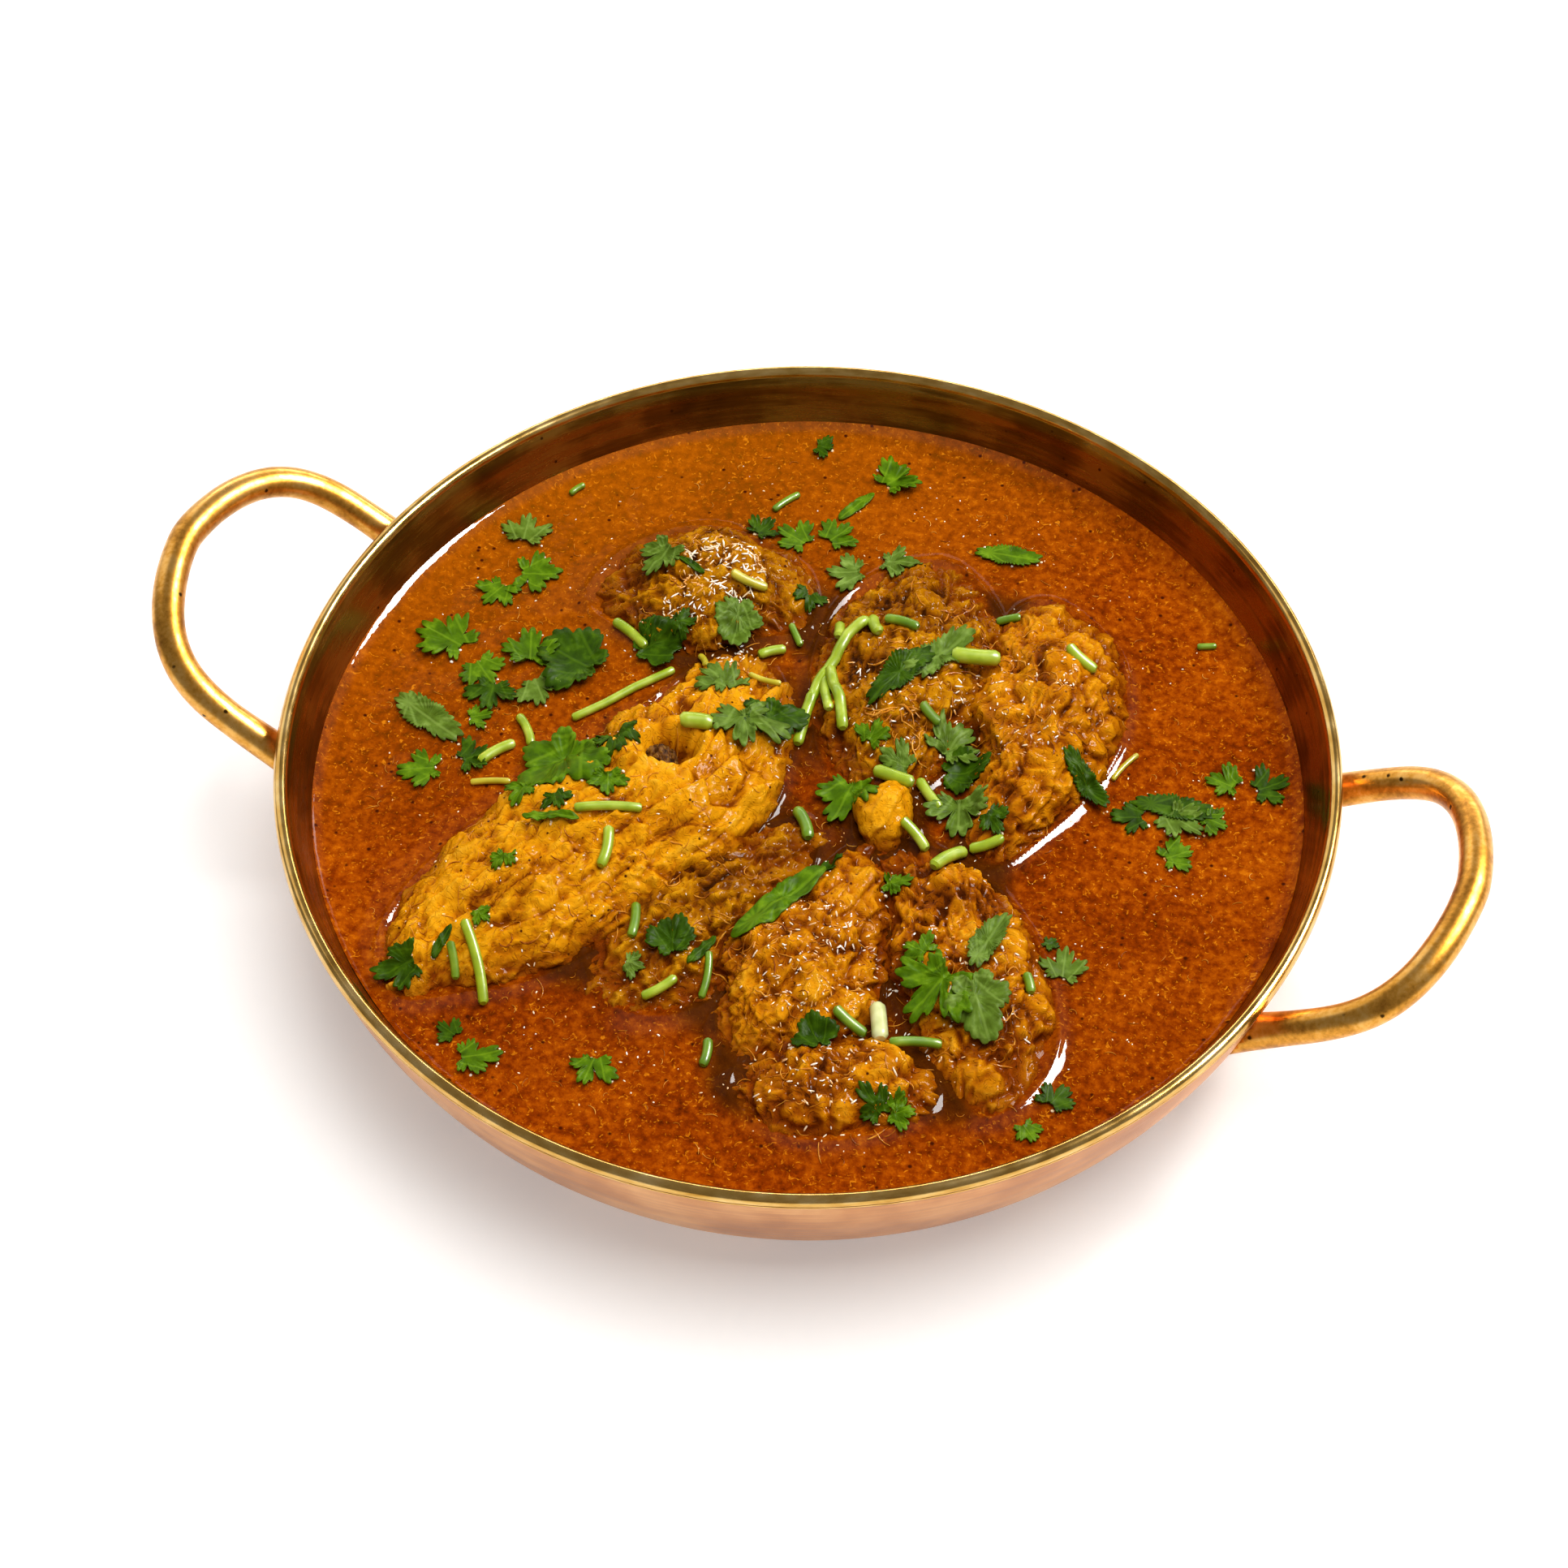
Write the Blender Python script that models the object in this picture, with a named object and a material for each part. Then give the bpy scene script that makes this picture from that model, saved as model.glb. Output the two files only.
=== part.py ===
# Chicken curry in a brass-lined copper pan with two looped handles.
# The pan stands on z = 0 with its centre on the z axis and its handles on +X and -X.
import math

import bmesh
import bpy
from mathutils import Vector, noise

MM = 0.001

# The pan
RIM_RADIUS = 0.1300        # outside of the rolled brass rim
PAN_HEIGHT = 0.0500        # underside to the top of the rim
SHELL_RADIUS = 0.1295      # outside of the copper wall at the top
SHELL_FOOT_RADIUS = 0.1048 # flat underside
SHELL_POWER = 1.55         # roundness of the copper wall
SHELL_WALL = 0.0012
LINING_RADIUS = 0.1266     # inside of the brass wall at the top
LINING_FLOOR_RADIUS = 0.1000
LINING_POWER = 1.29
LINING_WALL = 0.0014
RIM_BEAD_HEIGHT = 0.0026
RIM_BEAD_FULLNESS = 0.8    # below 1 is fuller than an ellipse
RIM_BEAD_STEPS = 8
RIM_LIP = 0.0001           # how far the bead's lip stands out from the lining
TURN_STEPS = 48
WALL_STEPS = 5

# The handles
HANDLE_ROD = 0.0080        # thickness of the round rod
HANDLE_HALF_SPREAD = 0.0375 # centre line of a foot from the handle's middle
HANDLE_REACH_LEFT = 0.0508 # wall to the far end, along the tilted loop; bent by hand, not a pair
HANDLE_REACH_RIGHT = 0.0478
HANDLE_TILT = math.radians(33.5)
HANDLE_FOOT_DEPTH = 0.0136 # foot's centre below the rim
HANDLE_SEAT = 0.0015       # foot's centre inside the wall
HANDLE_SPREAD_POWER = 1.30 # these two shape the loop, and 1 and 1 would be an ellipse
HANDLE_REACH_POWER = 0.44
HANDLE_FOOT_FLARE = 0.45   # how much wider the rod gets at its feet
HANDLE_FLARE_POWER = 8     # a high power keeps the flare close to the feet
HANDLE_SIDES = 8
HANDLE_STATIONS = 20
HANDLE_FINE_STEPS = 400

# The curry
GRAVY_DEPTH = 0.0165       # gravy's level below the rim
PIECE_SIDES = 12
PIECE_RINGS = 10

GAP = 0.0003               # between pieces that touch
PIECE_GAP = 0.0004         # round a chicken piece, where uneven facets meet
GRAVY_EDGE_GAP = 0.00045   # at the gravy's level, where the wall's facets bow inwards
MERGE = 0.00001
SHARP_ANGLE = math.radians(40)

# Each chicken piece is a lump drawn out along a line. A row is one point of that line in mm:
# x, y, z, half its width, half its thickness. A piece lies on top of those that come after it.
PIECES = [
    {
        "name": "bone_end",
        "line": [
            (-41, -12, 41, 4, 4),
            (-35, -10, 41, 5, 4),
            (-30, -7, 41, 4, 4),
        ],
        "seed": 5,
    },
    {
        "name": "chicken_leg",
        "line": [
            (-70, -95, 30, 16, 10),
            (-66, -78, 31, 24, 14),
            (-54, -57, 31, 26, 16),
            (-43, -37, 31, 25, 17),
            (-31, -17, 32, 27, 17),
            (-27, 7, 32, 28, 16),
            (-28, 33, 31, 26, 14),
        ],
        "seed": 3,
    },
    {
        "name": "chicken_breast",
        "line": [
            (36, 79, 28, 12, 9),
            (43, 62, 30, 21, 13),
            (50, 44, 31, 20, 16),
            (52, 24, 31, 17, 16),
            (50, 4, 30, 14, 15),
            (48, -16, 28, 11, 11),
        ],
        "seed": 11,
    },
    {
        "name": "chicken_nub",
        "line": [
            (22, 5, 33, 7, 8),
            (22, -6, 34, 8, 10),
            (23, -17, 32, 6, 7),
        ],
        "seed": 29,
    },
    {
        "name": "chicken_end",
        "line": [
            (9, -93, 27, 9, 8),
            (23, -87, 29, 15, 12),
            (42, -81, 30, 15, 12),
            (60, -76, 28, 12, 11),
        ],
        "seed": 43,
    },
    {
        "name": "chicken_thigh",
        "line": [
            (23, -11, 31, 11, 8),
            (21, -31, 31, 15, 14),
            (18, -50, 31, 20, 15),
            (17, -64, 30, 20, 15),
            (14, -78, 28, 16, 12),
            (11, -92, 27, 11, 8),
        ],
        "seed": 31,
    },
    {
        "name": "chicken_skin_side",
        "line": [
            (11, 84, 28, 17, 9),
            (11, 66, 30, 26, 12),
            (12, 46, 30, 26, 13),
            (14, 26, 30, 23, 13),
            (16, 8, 29, 20, 12),
            (19, -9, 27, 15, 10),
        ],
        "seed": 17,
    },
    {
        "name": "chicken_wing",
        "line": [
            (22, -10, 29, 11, 9),
            (37, -22, 31, 17, 12),
            (50, -36, 31, 19, 12),
            (60, -50, 31, 19, 12),
            (67, -65, 30, 20, 11),
            (70, -83, 29, 15, 10),
        ],
        "seed": 41,
    },
    {
        "name": "chicken_strip",
        "line": [
            (8, -6, 28, 10, 8),
            (1, -23, 29, 15, 11),
            (-8, -41, 29, 20, 12),
            (-15, -57, 29, 23, 11),
            (-18, -73, 28, 23, 10),
            (-21, -88, 26, 14, 8),
        ],
        "seed": 37,
    },
    {
        "name": "chicken_back",
        "line": [
            (-76, 34, 28, 13, 9),
            (-60, 44, 30, 22, 12),
            (-44, 50, 31, 23, 13),
            (-28, 51, 30, 19, 12),
            (-13, 44, 28, 12, 8),
        ],
        "seed": 23,
    },
]
BUMP_HEIGHT = 0.0024
BUMP_SIZE = 0.013
END_BLUNTNESS = 2.2        # above 1 rounds a piece's ends off more than an ellipse
LINE_STEP = 0.02           # share of a piece's line over which its direction is read

# The hollow in the leg's curl, round the bone
PIT_MIDDLE = (-0.034, -0.009, 0.046)
PIT_HALF_SIZE = (0.0085, 0.0068, 0.0088)


def clear_scene():
    for leftover in list(bpy.data.objects):
        bpy.data.objects.remove(leftover, do_unlink=True)


def material(name, colour, roughness, metallic):
    finish = bpy.data.materials.new(name)
    finish.use_nodes = True
    shader = finish.node_tree.nodes["Principled BSDF"]
    shader.inputs["Base Color"].default_value = (*colour, 1.0)
    shader.inputs["Roughness"].default_value = roughness
    shader.inputs["Metallic"].default_value = metallic
    finish.diffuse_color = (*colour, 1.0)
    return finish


def add_object(name, bm, finish):
    bm.normal_update()
    bmesh.ops.recalc_face_normals(bm, faces=bm.faces)
    mesh = bpy.data.meshes.new(name)
    bm.to_mesh(mesh)
    bm.free()
    mesh.shade_smooth()
    mesh.set_sharp_from_angle(angle=SHARP_ANGLE)
    mesh.materials.append(finish)
    piece = bpy.data.objects.new(name, mesh)
    bpy.context.scene.collection.objects.link(piece)
    return piece


def hide_cutter(piece):
    piece.hide_render = True
    piece.display_type = "WIRE"


def cut(piece, cutter, solver="EXACT"):
    modifier = piece.modifiers.new("cut by " + cutter.name, "BOOLEAN")
    modifier.operation = "DIFFERENCE"
    modifier.solver = solver
    modifier.object = cutter


# A bowl's radius at a distance below its rim: full at the top, then ever faster to the floor.
def bowl_radius(top_radius, floor_radius, depth, power, below):
    rounding = max(0.0, 1.0 - (below / depth) ** power) ** (1.0 / power)
    return floor_radius + (top_radius - floor_radius) * rounding


# A bowl's wall from its top to its floor, as (radius, z) points with z measured from the rim.
def bowl_wall(top_radius, floor_radius, depth, power, start):
    points = []
    for step in range(WALL_STEPS + 1):
        share = math.sin(0.5 * math.pi * step / WALL_STEPS)
        below = start + (depth - start) * share
        points.append((bowl_radius(top_radius, floor_radius, depth, power, below), -below))
    return points


# The same wall moved sideways, away from the axis for a positive distance.
def shifted_wall(points, distance):
    shifted = []
    for index, (radius, z) in enumerate(points):
        above = points[max(index - 1, 0)]
        below = points[min(index + 1, len(points) - 1)]
        along = Vector((below[0] - above[0], below[1] - above[1])).normalized()
        if index == len(points) - 1:
            along = Vector((-1.0, 0.0))
        shifted.append((radius - along.y * distance, z + along.x * distance))
    return shifted


def shell_wall():
    return bowl_wall(SHELL_RADIUS, SHELL_FOOT_RADIUS, PAN_HEIGHT, SHELL_POWER, RIM_BEAD_HEIGHT + GAP)


def lining_depth():
    return PAN_HEIGHT - SHELL_WALL - GAP - LINING_WALL


def lining_wall():
    return bowl_wall(
        LINING_RADIUS, LINING_FLOOR_RADIUS, lining_depth(), LINING_POWER, RIM_BEAD_HEIGHT
    )


# Turns a profile that starts and ends on the axis into a closed solid.
def turned(profile):
    bm = bmesh.new()
    verts = [bm.verts.new((radius, 0.0, z + PAN_HEIGHT)) for radius, z in profile]
    edges = [bm.edges.new(pair) for pair in zip(verts, verts[1:])]
    bmesh.ops.spin(
        bm,
        geom=verts + edges,
        cent=(0.0, 0.0, 0.0),
        axis=(0.0, 0.0, 1.0),
        angle=2.0 * math.pi,
        steps=TURN_STEPS,
        use_merge=True,
    )
    bmesh.ops.remove_doubles(bm, verts=bm.verts, dist=MERGE)
    bmesh.ops.dissolve_degenerate(bm, edges=bm.edges, dist=MERGE)
    return bm


def build_shell(copper):
    outside = shell_wall()
    inside = shifted_wall(outside, -SHELL_WALL)
    profile = [(0.0, outside[-1][1])] + outside[::-1] + inside + [(0.0, inside[-1][1])]
    return add_object("pan_shell", turned(profile), copper)


# The rim's rolled bead: from the wall's inside, over the top, and down to its lip.
def rim_bead():
    middle = 0.5 * (RIM_RADIUS + LINING_RADIUS)
    half_width = 0.5 * (RIM_RADIUS - LINING_RADIUS)
    points = []
    for step in range(1, RIM_BEAD_STEPS + 1):
        angle = math.pi * (1.0 - step / RIM_BEAD_STEPS)
        rise = math.sin(angle) ** RIM_BEAD_FULLNESS
        points.append((middle + half_width * math.cos(angle), -RIM_BEAD_HEIGHT * (1.0 - rise)))
    return points


def build_lining(brass):
    inside = lining_wall()
    outside = shifted_wall(inside, LINING_WALL)
    lip = (outside[0][0] + RIM_LIP, -RIM_BEAD_HEIGHT)
    profile = [(0.0, inside[-1][1])] + inside[::-1] + rim_bead() + [lip] + outside[1:]
    profile.append((0.0, outside[-1][1]))
    return add_object("pan_lining", turned(profile), brass)


# Points at even steps along a line of closely set ones.
def evenly_spaced(line, steps):
    lengths = [0.0]
    for before, after in zip(line, line[1:]):
        lengths.append(lengths[-1] + (after - before).length)
    points = []
    index = 0
    for step in range(steps + 1):
        wanted = lengths[-1] * step / steps
        while index < len(line) - 2 and lengths[index + 1] < wanted:
            index += 1
        share = (wanted - lengths[index]) / (lengths[index + 1] - lengths[index])
        points.append(line[index].lerp(line[index + 1], share))
    return points


# The loop's centre line: a rounded half hoop that tilts up from its feet. It starts one rod's
# thickness inside the wall, where the feet are then cut to the wall's curve.
def handle_line(reach):
    foot_x = math.sqrt((SHELL_RADIUS - HANDLE_SEAT) ** 2 - HANDLE_HALF_SPREAD ** 2)
    foot_z = PAN_HEIGHT - HANDLE_FOOT_DEPTH
    line = []
    for step in range(HANDLE_FINE_STEPS + 1):
        angle = math.pi * step / HANDLE_FINE_STEPS
        spread = math.copysign(abs(math.cos(angle)) ** HANDLE_SPREAD_POWER, math.cos(angle))
        out = reach * max(0.0, math.sin(angle)) ** HANDLE_REACH_POWER
        x = foot_x + out * math.cos(HANDLE_TILT)
        z = foot_z + out * math.sin(HANDLE_TILT)
        line.append(Vector((x, spread * HANDLE_HALF_SPREAD, z)))
    inward = Vector((-math.cos(HANDLE_TILT), 0.0, -math.sin(HANDLE_TILT))) * HANDLE_ROD
    line.insert(0, line[0] + inward)
    line.append(line[-1] + inward)
    return evenly_spaced(line, HANDLE_STATIONS)


def build_handle(name, side, reach, brass, wall_cutter):
    line = handle_line(reach)
    flat_of_loop = Vector((-math.sin(HANDLE_TILT), 0.0, math.cos(HANDLE_TILT)))
    bm = bmesh.new()
    rings = []
    for index, point in enumerate(line):
        before = line[max(index - 1, 0)]
        after = line[min(index + 1, len(line) - 1)]
        along = (after - before).normalized()
        sideways = flat_of_loop.cross(along).normalized()
        share = abs(1.0 - 2.0 * index / HANDLE_STATIONS)
        flare = 1.0 + HANDLE_FOOT_FLARE * share ** HANDLE_FLARE_POWER
        ring = []
        for corner in range(HANDLE_SIDES):
            angle = 2.0 * math.pi * corner / HANDLE_SIDES
            offset = sideways * math.cos(angle) * flare + flat_of_loop * math.sin(angle)
            spot = point + offset * 0.5 * HANDLE_ROD
            ring.append(bm.verts.new((side * spot.x, spot.y, spot.z)))
        rings.append(ring)
    for first, second in zip(rings, rings[1:]):
        for corner in range(HANDLE_SIDES):
            following = (corner + 1) % HANDLE_SIDES
            bm.faces.new((first[corner], first[following], second[following], second[corner]))
    bm.faces.new(rings[0])
    bm.faces.new(rings[-1])
    handle = add_object(name, bm, brass)
    cut(handle, wall_cutter)
    return handle


# The room that the pan takes up, with the touching gap round it, to end the handles' feet.
def build_wall_cutter(copper):
    outside = shifted_wall(shell_wall(), GAP)
    profile = [(0.0, outside[-1][1])] + outside[::-1] + [(0.0, outside[0][1])]
    cutter = add_object("wall_room", turned(profile), copper)
    hide_cutter(cutter)
    return cutter


# A point, half width and half thickness at a share from 0 to 1 of a smooth curve through the rows.
def along_line(rows, share):
    place = share * (len(rows) - 1)
    index = min(int(place), len(rows) - 2)
    t = place - index
    before = rows[max(index - 1, 0)]
    start = rows[index]
    end = rows[index + 1]
    after = rows[min(index + 2, len(rows) - 1)]
    values = []
    for p, a, b, n in zip(before, start, end, after):
        bend = (2 * p - 5 * a + 4 * b - n) * t * t + (3 * a - p - 3 * b + n) * t ** 3
        values.append(0.5 * (2 * a + (b - p) * t + bend) * MM)
    return Vector(values[:3]), values[3], values[4]


# A sphere drawn out along the piece's line, then made uneven. Room grows it on every side.
def piece_mesh(piece, room):
    bm = bmesh.new()
    bmesh.ops.create_uvsphere(bm, u_segments=PIECE_SIDES, v_segments=PIECE_RINGS, radius=1.0)
    rows = piece["line"]
    for vert in bm.verts:
        x, y, z = vert.co
        turn = math.acos(max(-1.0, min(1.0, -z))) / math.pi
        point, half_width, half_height = along_line(rows, turn)
        ahead = along_line(rows, min(turn + LINE_STEP, 1.0))[0]
        behind = along_line(rows, max(turn - LINE_STEP, 0.0))[0]
        along = (ahead - behind).normalized()
        sideways = along.cross(Vector((0.0, 0.0, 1.0))).normalized()
        upward = sideways.cross(along)
        outward = math.hypot(x, y)
        fullness = outward ** (1.0 / END_BLUNTNESS) / outward if outward > 0.001 else 0.0
        vert.co = point + sideways * x * fullness * half_width + upward * y * fullness * half_height
    bm.normal_update()
    bmesh.ops.recalc_face_normals(bm, faces=bm.faces)
    bm.normal_update()
    offset = Vector((piece["seed"], 0.0, 0.0))
    places = []
    for vert in bm.verts:
        bump = noise.noise(vert.co / BUMP_SIZE + offset) * BUMP_HEIGHT
        places.append(vert.co + vert.normal * bump)
    for vert, place in zip(bm.verts, places):
        vert.co = place
    bm.normal_update()
    for vert, place in zip(bm.verts, places):
        vert.co = place + vert.normal * room
    # The same diagonals for a piece and its cutter keep the gap even.
    bmesh.ops.triangulate(bm, faces=bm.faces, quad_method="FIXED")
    return bm


# The chicken and, for each piece, a cutter that is larger all round by the touching gap.
def build_pieces(chicken, bone):
    pieces = {}
    rooms = {}
    for piece in PIECES:
        name = piece["name"]
        finish = bone if name == "bone_end" else chicken
        pieces[name] = add_object(name, piece_mesh(piece, 0.0), finish)
        rooms[name] = add_object(name + "_room", piece_mesh(piece, PIECE_GAP), finish)
        hide_cutter(rooms[name])
    names = list(pieces)
    for index, name in enumerate(names):
        for upper in names[:index]:
            cut(pieces[name], rooms[upper])
    return pieces, rooms


def build_pit_cutter(bone):
    bm = bmesh.new()
    bmesh.ops.create_icosphere(bm, subdivisions=2, radius=1.0)
    bmesh.ops.scale(bm, vec=PIT_HALF_SIZE, verts=bm.verts)
    bmesh.ops.translate(bm, vec=PIT_MIDDLE, verts=bm.verts)
    cutter = add_object("pit_room", bm, bone)
    hide_cutter(cutter)
    return cutter


def build_gravy(gravy, rooms):
    level = -GRAVY_DEPTH
    wall = [spot for spot in shifted_wall(lining_wall(), -GAP) if spot[1] < level]
    edge = bowl_radius(
        LINING_RADIUS, LINING_FLOOR_RADIUS, lining_depth(), LINING_POWER, GRAVY_DEPTH
    )
    top = [(edge - GRAVY_EDGE_GAP, level), (0.0, level)]
    profile = [(0.0, wall[-1][1])] + wall[::-1] + top
    pool = add_object("gravy", turned(profile), gravy)
    # The exact solver loses the pool after a few of these overlapping cutters.
    for room in rooms.values():
        cut(pool, room, "MANIFOLD")
    return pool


def main():
    clear_scene()
    copper = material("copper", (0.72, 0.36, 0.22), 0.30, 1.0)
    brass = material("brass", (0.62, 0.40, 0.13), 0.28, 1.0)
    meat = material("chicken", (0.60, 0.22, 0.02), 0.45, 0.0)
    sauce = material("gravy", (0.42, 0.07, 0.004), 0.25, 0.0)
    build_shell(copper)
    build_lining(brass)
    wall_cutter = build_wall_cutter(copper)
    build_handle("handle_left", -1.0, HANDLE_REACH_LEFT, brass, wall_cutter)
    build_handle("handle_right", 1.0, HANDLE_REACH_RIGHT, brass, wall_cutter)
    bone = material("bone", (0.10, 0.05, 0.02), 0.60, 0.0)
    pieces, rooms = build_pieces(meat, bone)
    cut(pieces["chicken_leg"], build_pit_cutter(bone))
    build_gravy(sauce, rooms)


main()
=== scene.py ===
import math
import random

import bmesh
import bpy
from mathutils import Matrix, Vector, noise
from mathutils.bvhtree import BVHTree


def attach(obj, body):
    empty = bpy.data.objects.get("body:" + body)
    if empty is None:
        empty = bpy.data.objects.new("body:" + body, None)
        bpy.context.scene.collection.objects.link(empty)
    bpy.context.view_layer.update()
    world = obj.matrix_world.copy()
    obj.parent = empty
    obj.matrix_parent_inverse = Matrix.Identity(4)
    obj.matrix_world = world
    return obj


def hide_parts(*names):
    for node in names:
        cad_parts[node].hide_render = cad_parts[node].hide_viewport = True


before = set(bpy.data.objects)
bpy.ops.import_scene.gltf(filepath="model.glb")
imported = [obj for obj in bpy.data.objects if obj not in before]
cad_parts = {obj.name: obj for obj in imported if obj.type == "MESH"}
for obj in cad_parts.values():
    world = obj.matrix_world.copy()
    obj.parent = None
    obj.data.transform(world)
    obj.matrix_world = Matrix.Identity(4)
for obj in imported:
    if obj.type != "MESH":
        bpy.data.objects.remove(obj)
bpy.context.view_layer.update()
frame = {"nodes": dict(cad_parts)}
print("frame loaded")

mm = 0.001
up = Vector((0.0, 0.0, 1.0))
noise.seed_set(11)  # vector noise is seeded by the clock unless it is given a seed


def paint(hexCode):  # an sRGB hex colour as the linear values that shaders take
    values = [int(hexCode[i:i + 2], 16) / 255.0 for i in (1, 3, 5)]
    linear = [v / 12.92 if v <= 0.04045 else ((v + 0.055) / 1.055) ** 2.4 for v in values]
    return (*linear, 1.0)


def perMetre(sizeInMm):  # pattern scale for features of this size
    return 1.0 / (sizeInMm * mm)


def setNode(node, settings=None, links=None):  # a colour may be given as its hex code
    for name, value in (settings or {}).items():
        if isinstance(value, str) and value.startswith("#"):
            value = paint(value)
        if name == "stops":  # a colour ramp's stops, from left to right
            ramp = node.color_ramp.elements
            stops = [(position, paint(colour)) for position, colour in value]
            ramp[0].position, ramp[0].color = stops[0]
            ramp[1].position, ramp[1].color = stops[-1]
            for position, colour in stops[1:-1]:
                ramp.new(position).color = colour
        elif isinstance(name, int) or name in node.inputs:
            node.inputs[name].default_value = value
        else:
            setattr(node, name, value)
    for name, source in (links or {}).items():
        socket = source if isinstance(source, bpy.types.NodeSocket) else source.outputs[0]
        node.id_data.links.new(socket, node.inputs[name])
    return node


def addNode(tree, kind, settings=None, links=None):
    return setNode(tree.nodes.new("ShaderNode" + kind), settings, links)


def newFinish(name):  # a material, its tree, its shader and the place that patterns follow
    finish = bpy.data.materials.new(name)
    finish.use_nodes = True
    tree = finish.node_tree
    tree.nodes.clear()
    shader = addNode(tree, "BsdfPrincipled")
    addNode(tree, "OutputMaterial", links={0: shader})
    return finish, tree, shader, addNode(tree, "TexCoord").outputs["Object"]


def mottled(tree, spot, sizeInMm, detail, stops):  # soft patches, and the colours they take
    patches = addNode(tree, "TexNoise", {"Scale": perMetre(sizeInMm), "Detail": detail},
        {"Vector": spot})
    return patches, addNode(tree, "ValToRGB", {"stops": stops}, {"Fac": patches})


def withSpecks(tree, spot, sizeInMm, inner, outer, colour, ground):  # small specks on a colour
    cells = addNode(tree, "TexVoronoi", {"Scale": perMetre(sizeInMm)}, {"Vector": spot})
    mask = addNode(tree, "MapRange", {"From Min": inner, "From Max": outer}, {"Value": cells})
    return addNode(tree, "Mix", {"data_type": "RGBA", 6: colour}, {0: mask, 7: ground}).outputs[2]


def meshFrom(bm, name):
    mesh = bpy.data.meshes.new(name)
    bm.to_mesh(mesh)
    bm.free()
    return mesh


def addObject(name, data):
    thing = bpy.data.objects.new(name, data)
    bpy.context.scene.collection.objects.link(thing)
    return thing


def addPiece(name, bm, finishes, replaced=(), sharpAngle=180.0):
    bm.normal_update()
    mesh = meshFrom(bm, name)
    mesh.shade_smooth()
    if sharpAngle < 180.0:
        mesh.set_sharp_from_angle(angle=math.radians(sharpAngle))
    for finish in finishes:
        mesh.materials.append(finish)
    piece = addObject(name, mesh)
    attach(piece, "root")
    if replaced:
        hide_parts(*replaced)
    return piece


def stamped(bm, mesh):  # the points and faces that a copy of the mesh adds
    vertStart, faceStart = len(bm.verts), len(bm.faces)
    bm.from_mesh(mesh)
    bm.verts.ensure_lookup_table()
    bm.faces.ensure_lookup_table()
    return bm.verts[vertStart:], bm.faces[faceStart:]


def scattered(draw, x, y, reach):  # a random place in a round patch, in metres
    a = draw.uniform(0.0, 2.0 * math.pi)
    r = reach * math.sqrt(draw.random())
    return (x + r * math.cos(a)) * mm, (y + r * math.sin(a)) * mm


def turnedBy(x, y, angle):
    return x * math.cos(angle) - y * math.sin(angle), x * math.sin(angle) + y * math.cos(angle)


def smoothStep(low, high, value):
    t = min(max((value - low) / (high - low), 0.0), 1.0)
    return t * t * (3.0 - 2.0 * t)


studio = {
    "cameraAzimuth": 19.5,
    "cameraElevation": 51.95,
    "cameraDistance": 0.80,
    "cameraTarget": (-0.0011, -0.0143, 0.050),
    "cameraLens": 76.13,
    "cameraRoll": -0.21,
    "skyStrength": 0.26,
    "floorGlow": 0.28,  # painted light: the paper glows a little, so the shadows on it stay faint
}
# A soft box is a direction, a distance, its two sides, its power, and whether it lights
# matt surfaces and shows in shiny ones.
softBoxes = {
    "ceiling": {"direction": (0.16, 0.05, 1.0), "distance": 2.2, "size": (1.6, 1.6),
                "power": 51.0, "matt": True, "shiny": False},
    "key": {"direction": (0.35, 0.60, 0.72), "distance": 1.1, "size": (0.24, 0.24),
            "power": 5.0, "matt": True, "shiny": False},
    "glints": {"direction": (0.60, 0.38, 0.70), "distance": 1.1, "size": (0.52, 0.36),
               "power": 30.0, "matt": False, "shiny": True},
    "low strip": {"direction": (-0.15, 1.0, 0.36), "distance": 1.2, "size": (1.4, 0.16),
                  "power": 5.0, "matt": False, "shiny": True},
    "left wall": {"direction": (-0.87, 0.50, 0.52), "distance": 1.4, "size": (1.2, 1.2),
                  "power": 4.4, "matt": False, "shiny": True},
}


def fromAngles(azimuth, elevation):
    a = math.radians(azimuth)
    e = math.radians(elevation)
    return Vector((math.sin(a) * math.cos(e), -math.cos(a) * math.cos(e), math.sin(e)))


def addCamera(look):
    data = bpy.data.cameras.new("camera")
    data.lens = look["cameraLens"]
    data.sensor_width = 36.0
    data.clip_start = 0.01
    data.clip_end = 20.0
    camera = addObject("camera", data)
    back = fromAngles(look["cameraAzimuth"], look["cameraElevation"])
    camera.location = Vector(look["cameraTarget"]) + back * look["cameraDistance"]
    turn = (-back).to_track_quat("-Z", "Y").to_matrix().to_4x4()
    turn = turn @ Matrix.Rotation(math.radians(look["cameraRoll"]), 4, "Z")
    camera.rotation_euler = turn.to_euler()
    bpy.context.scene.camera = camera


def addSoftBox(name, box):
    data = bpy.data.lights.new(name, "AREA")
    data.shape = "RECTANGLE"
    data.size, data.size_y = box["size"]
    data.energy = box["power"]
    data.color = (1.0, 0.985, 0.965)
    light = addObject(name, data)
    light.visible_diffuse = box["matt"]
    light.visible_glossy = box["shiny"]
    away = Vector(box["direction"]).normalized()
    light.location = away * box["distance"] + Vector((0.0, 0.0, 0.04))
    light.rotation_euler = away.to_track_quat("Z", "Y").to_euler()


def floorPaper():  # matt white sweep paper, nearly white with a faint grain; a painted glow keeps its shadows faint
    finish, tree, shader, spot = newFinish("matt white sweep paper")
    tone = mottled(tree, spot, 2.5, 3.0, [(0.3, "#ECEBEA"), (0.7, "#F0EFEE")])[1]
    setNode(shader, {"Roughness": 0.9, "Specular IOR Level": 0.2,
            "Emission Color": (1.0, 0.99, 0.985, 1.0), "Emission Strength": studio["floorGlow"]},
        {"Base Color": tone})
    return finish


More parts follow.
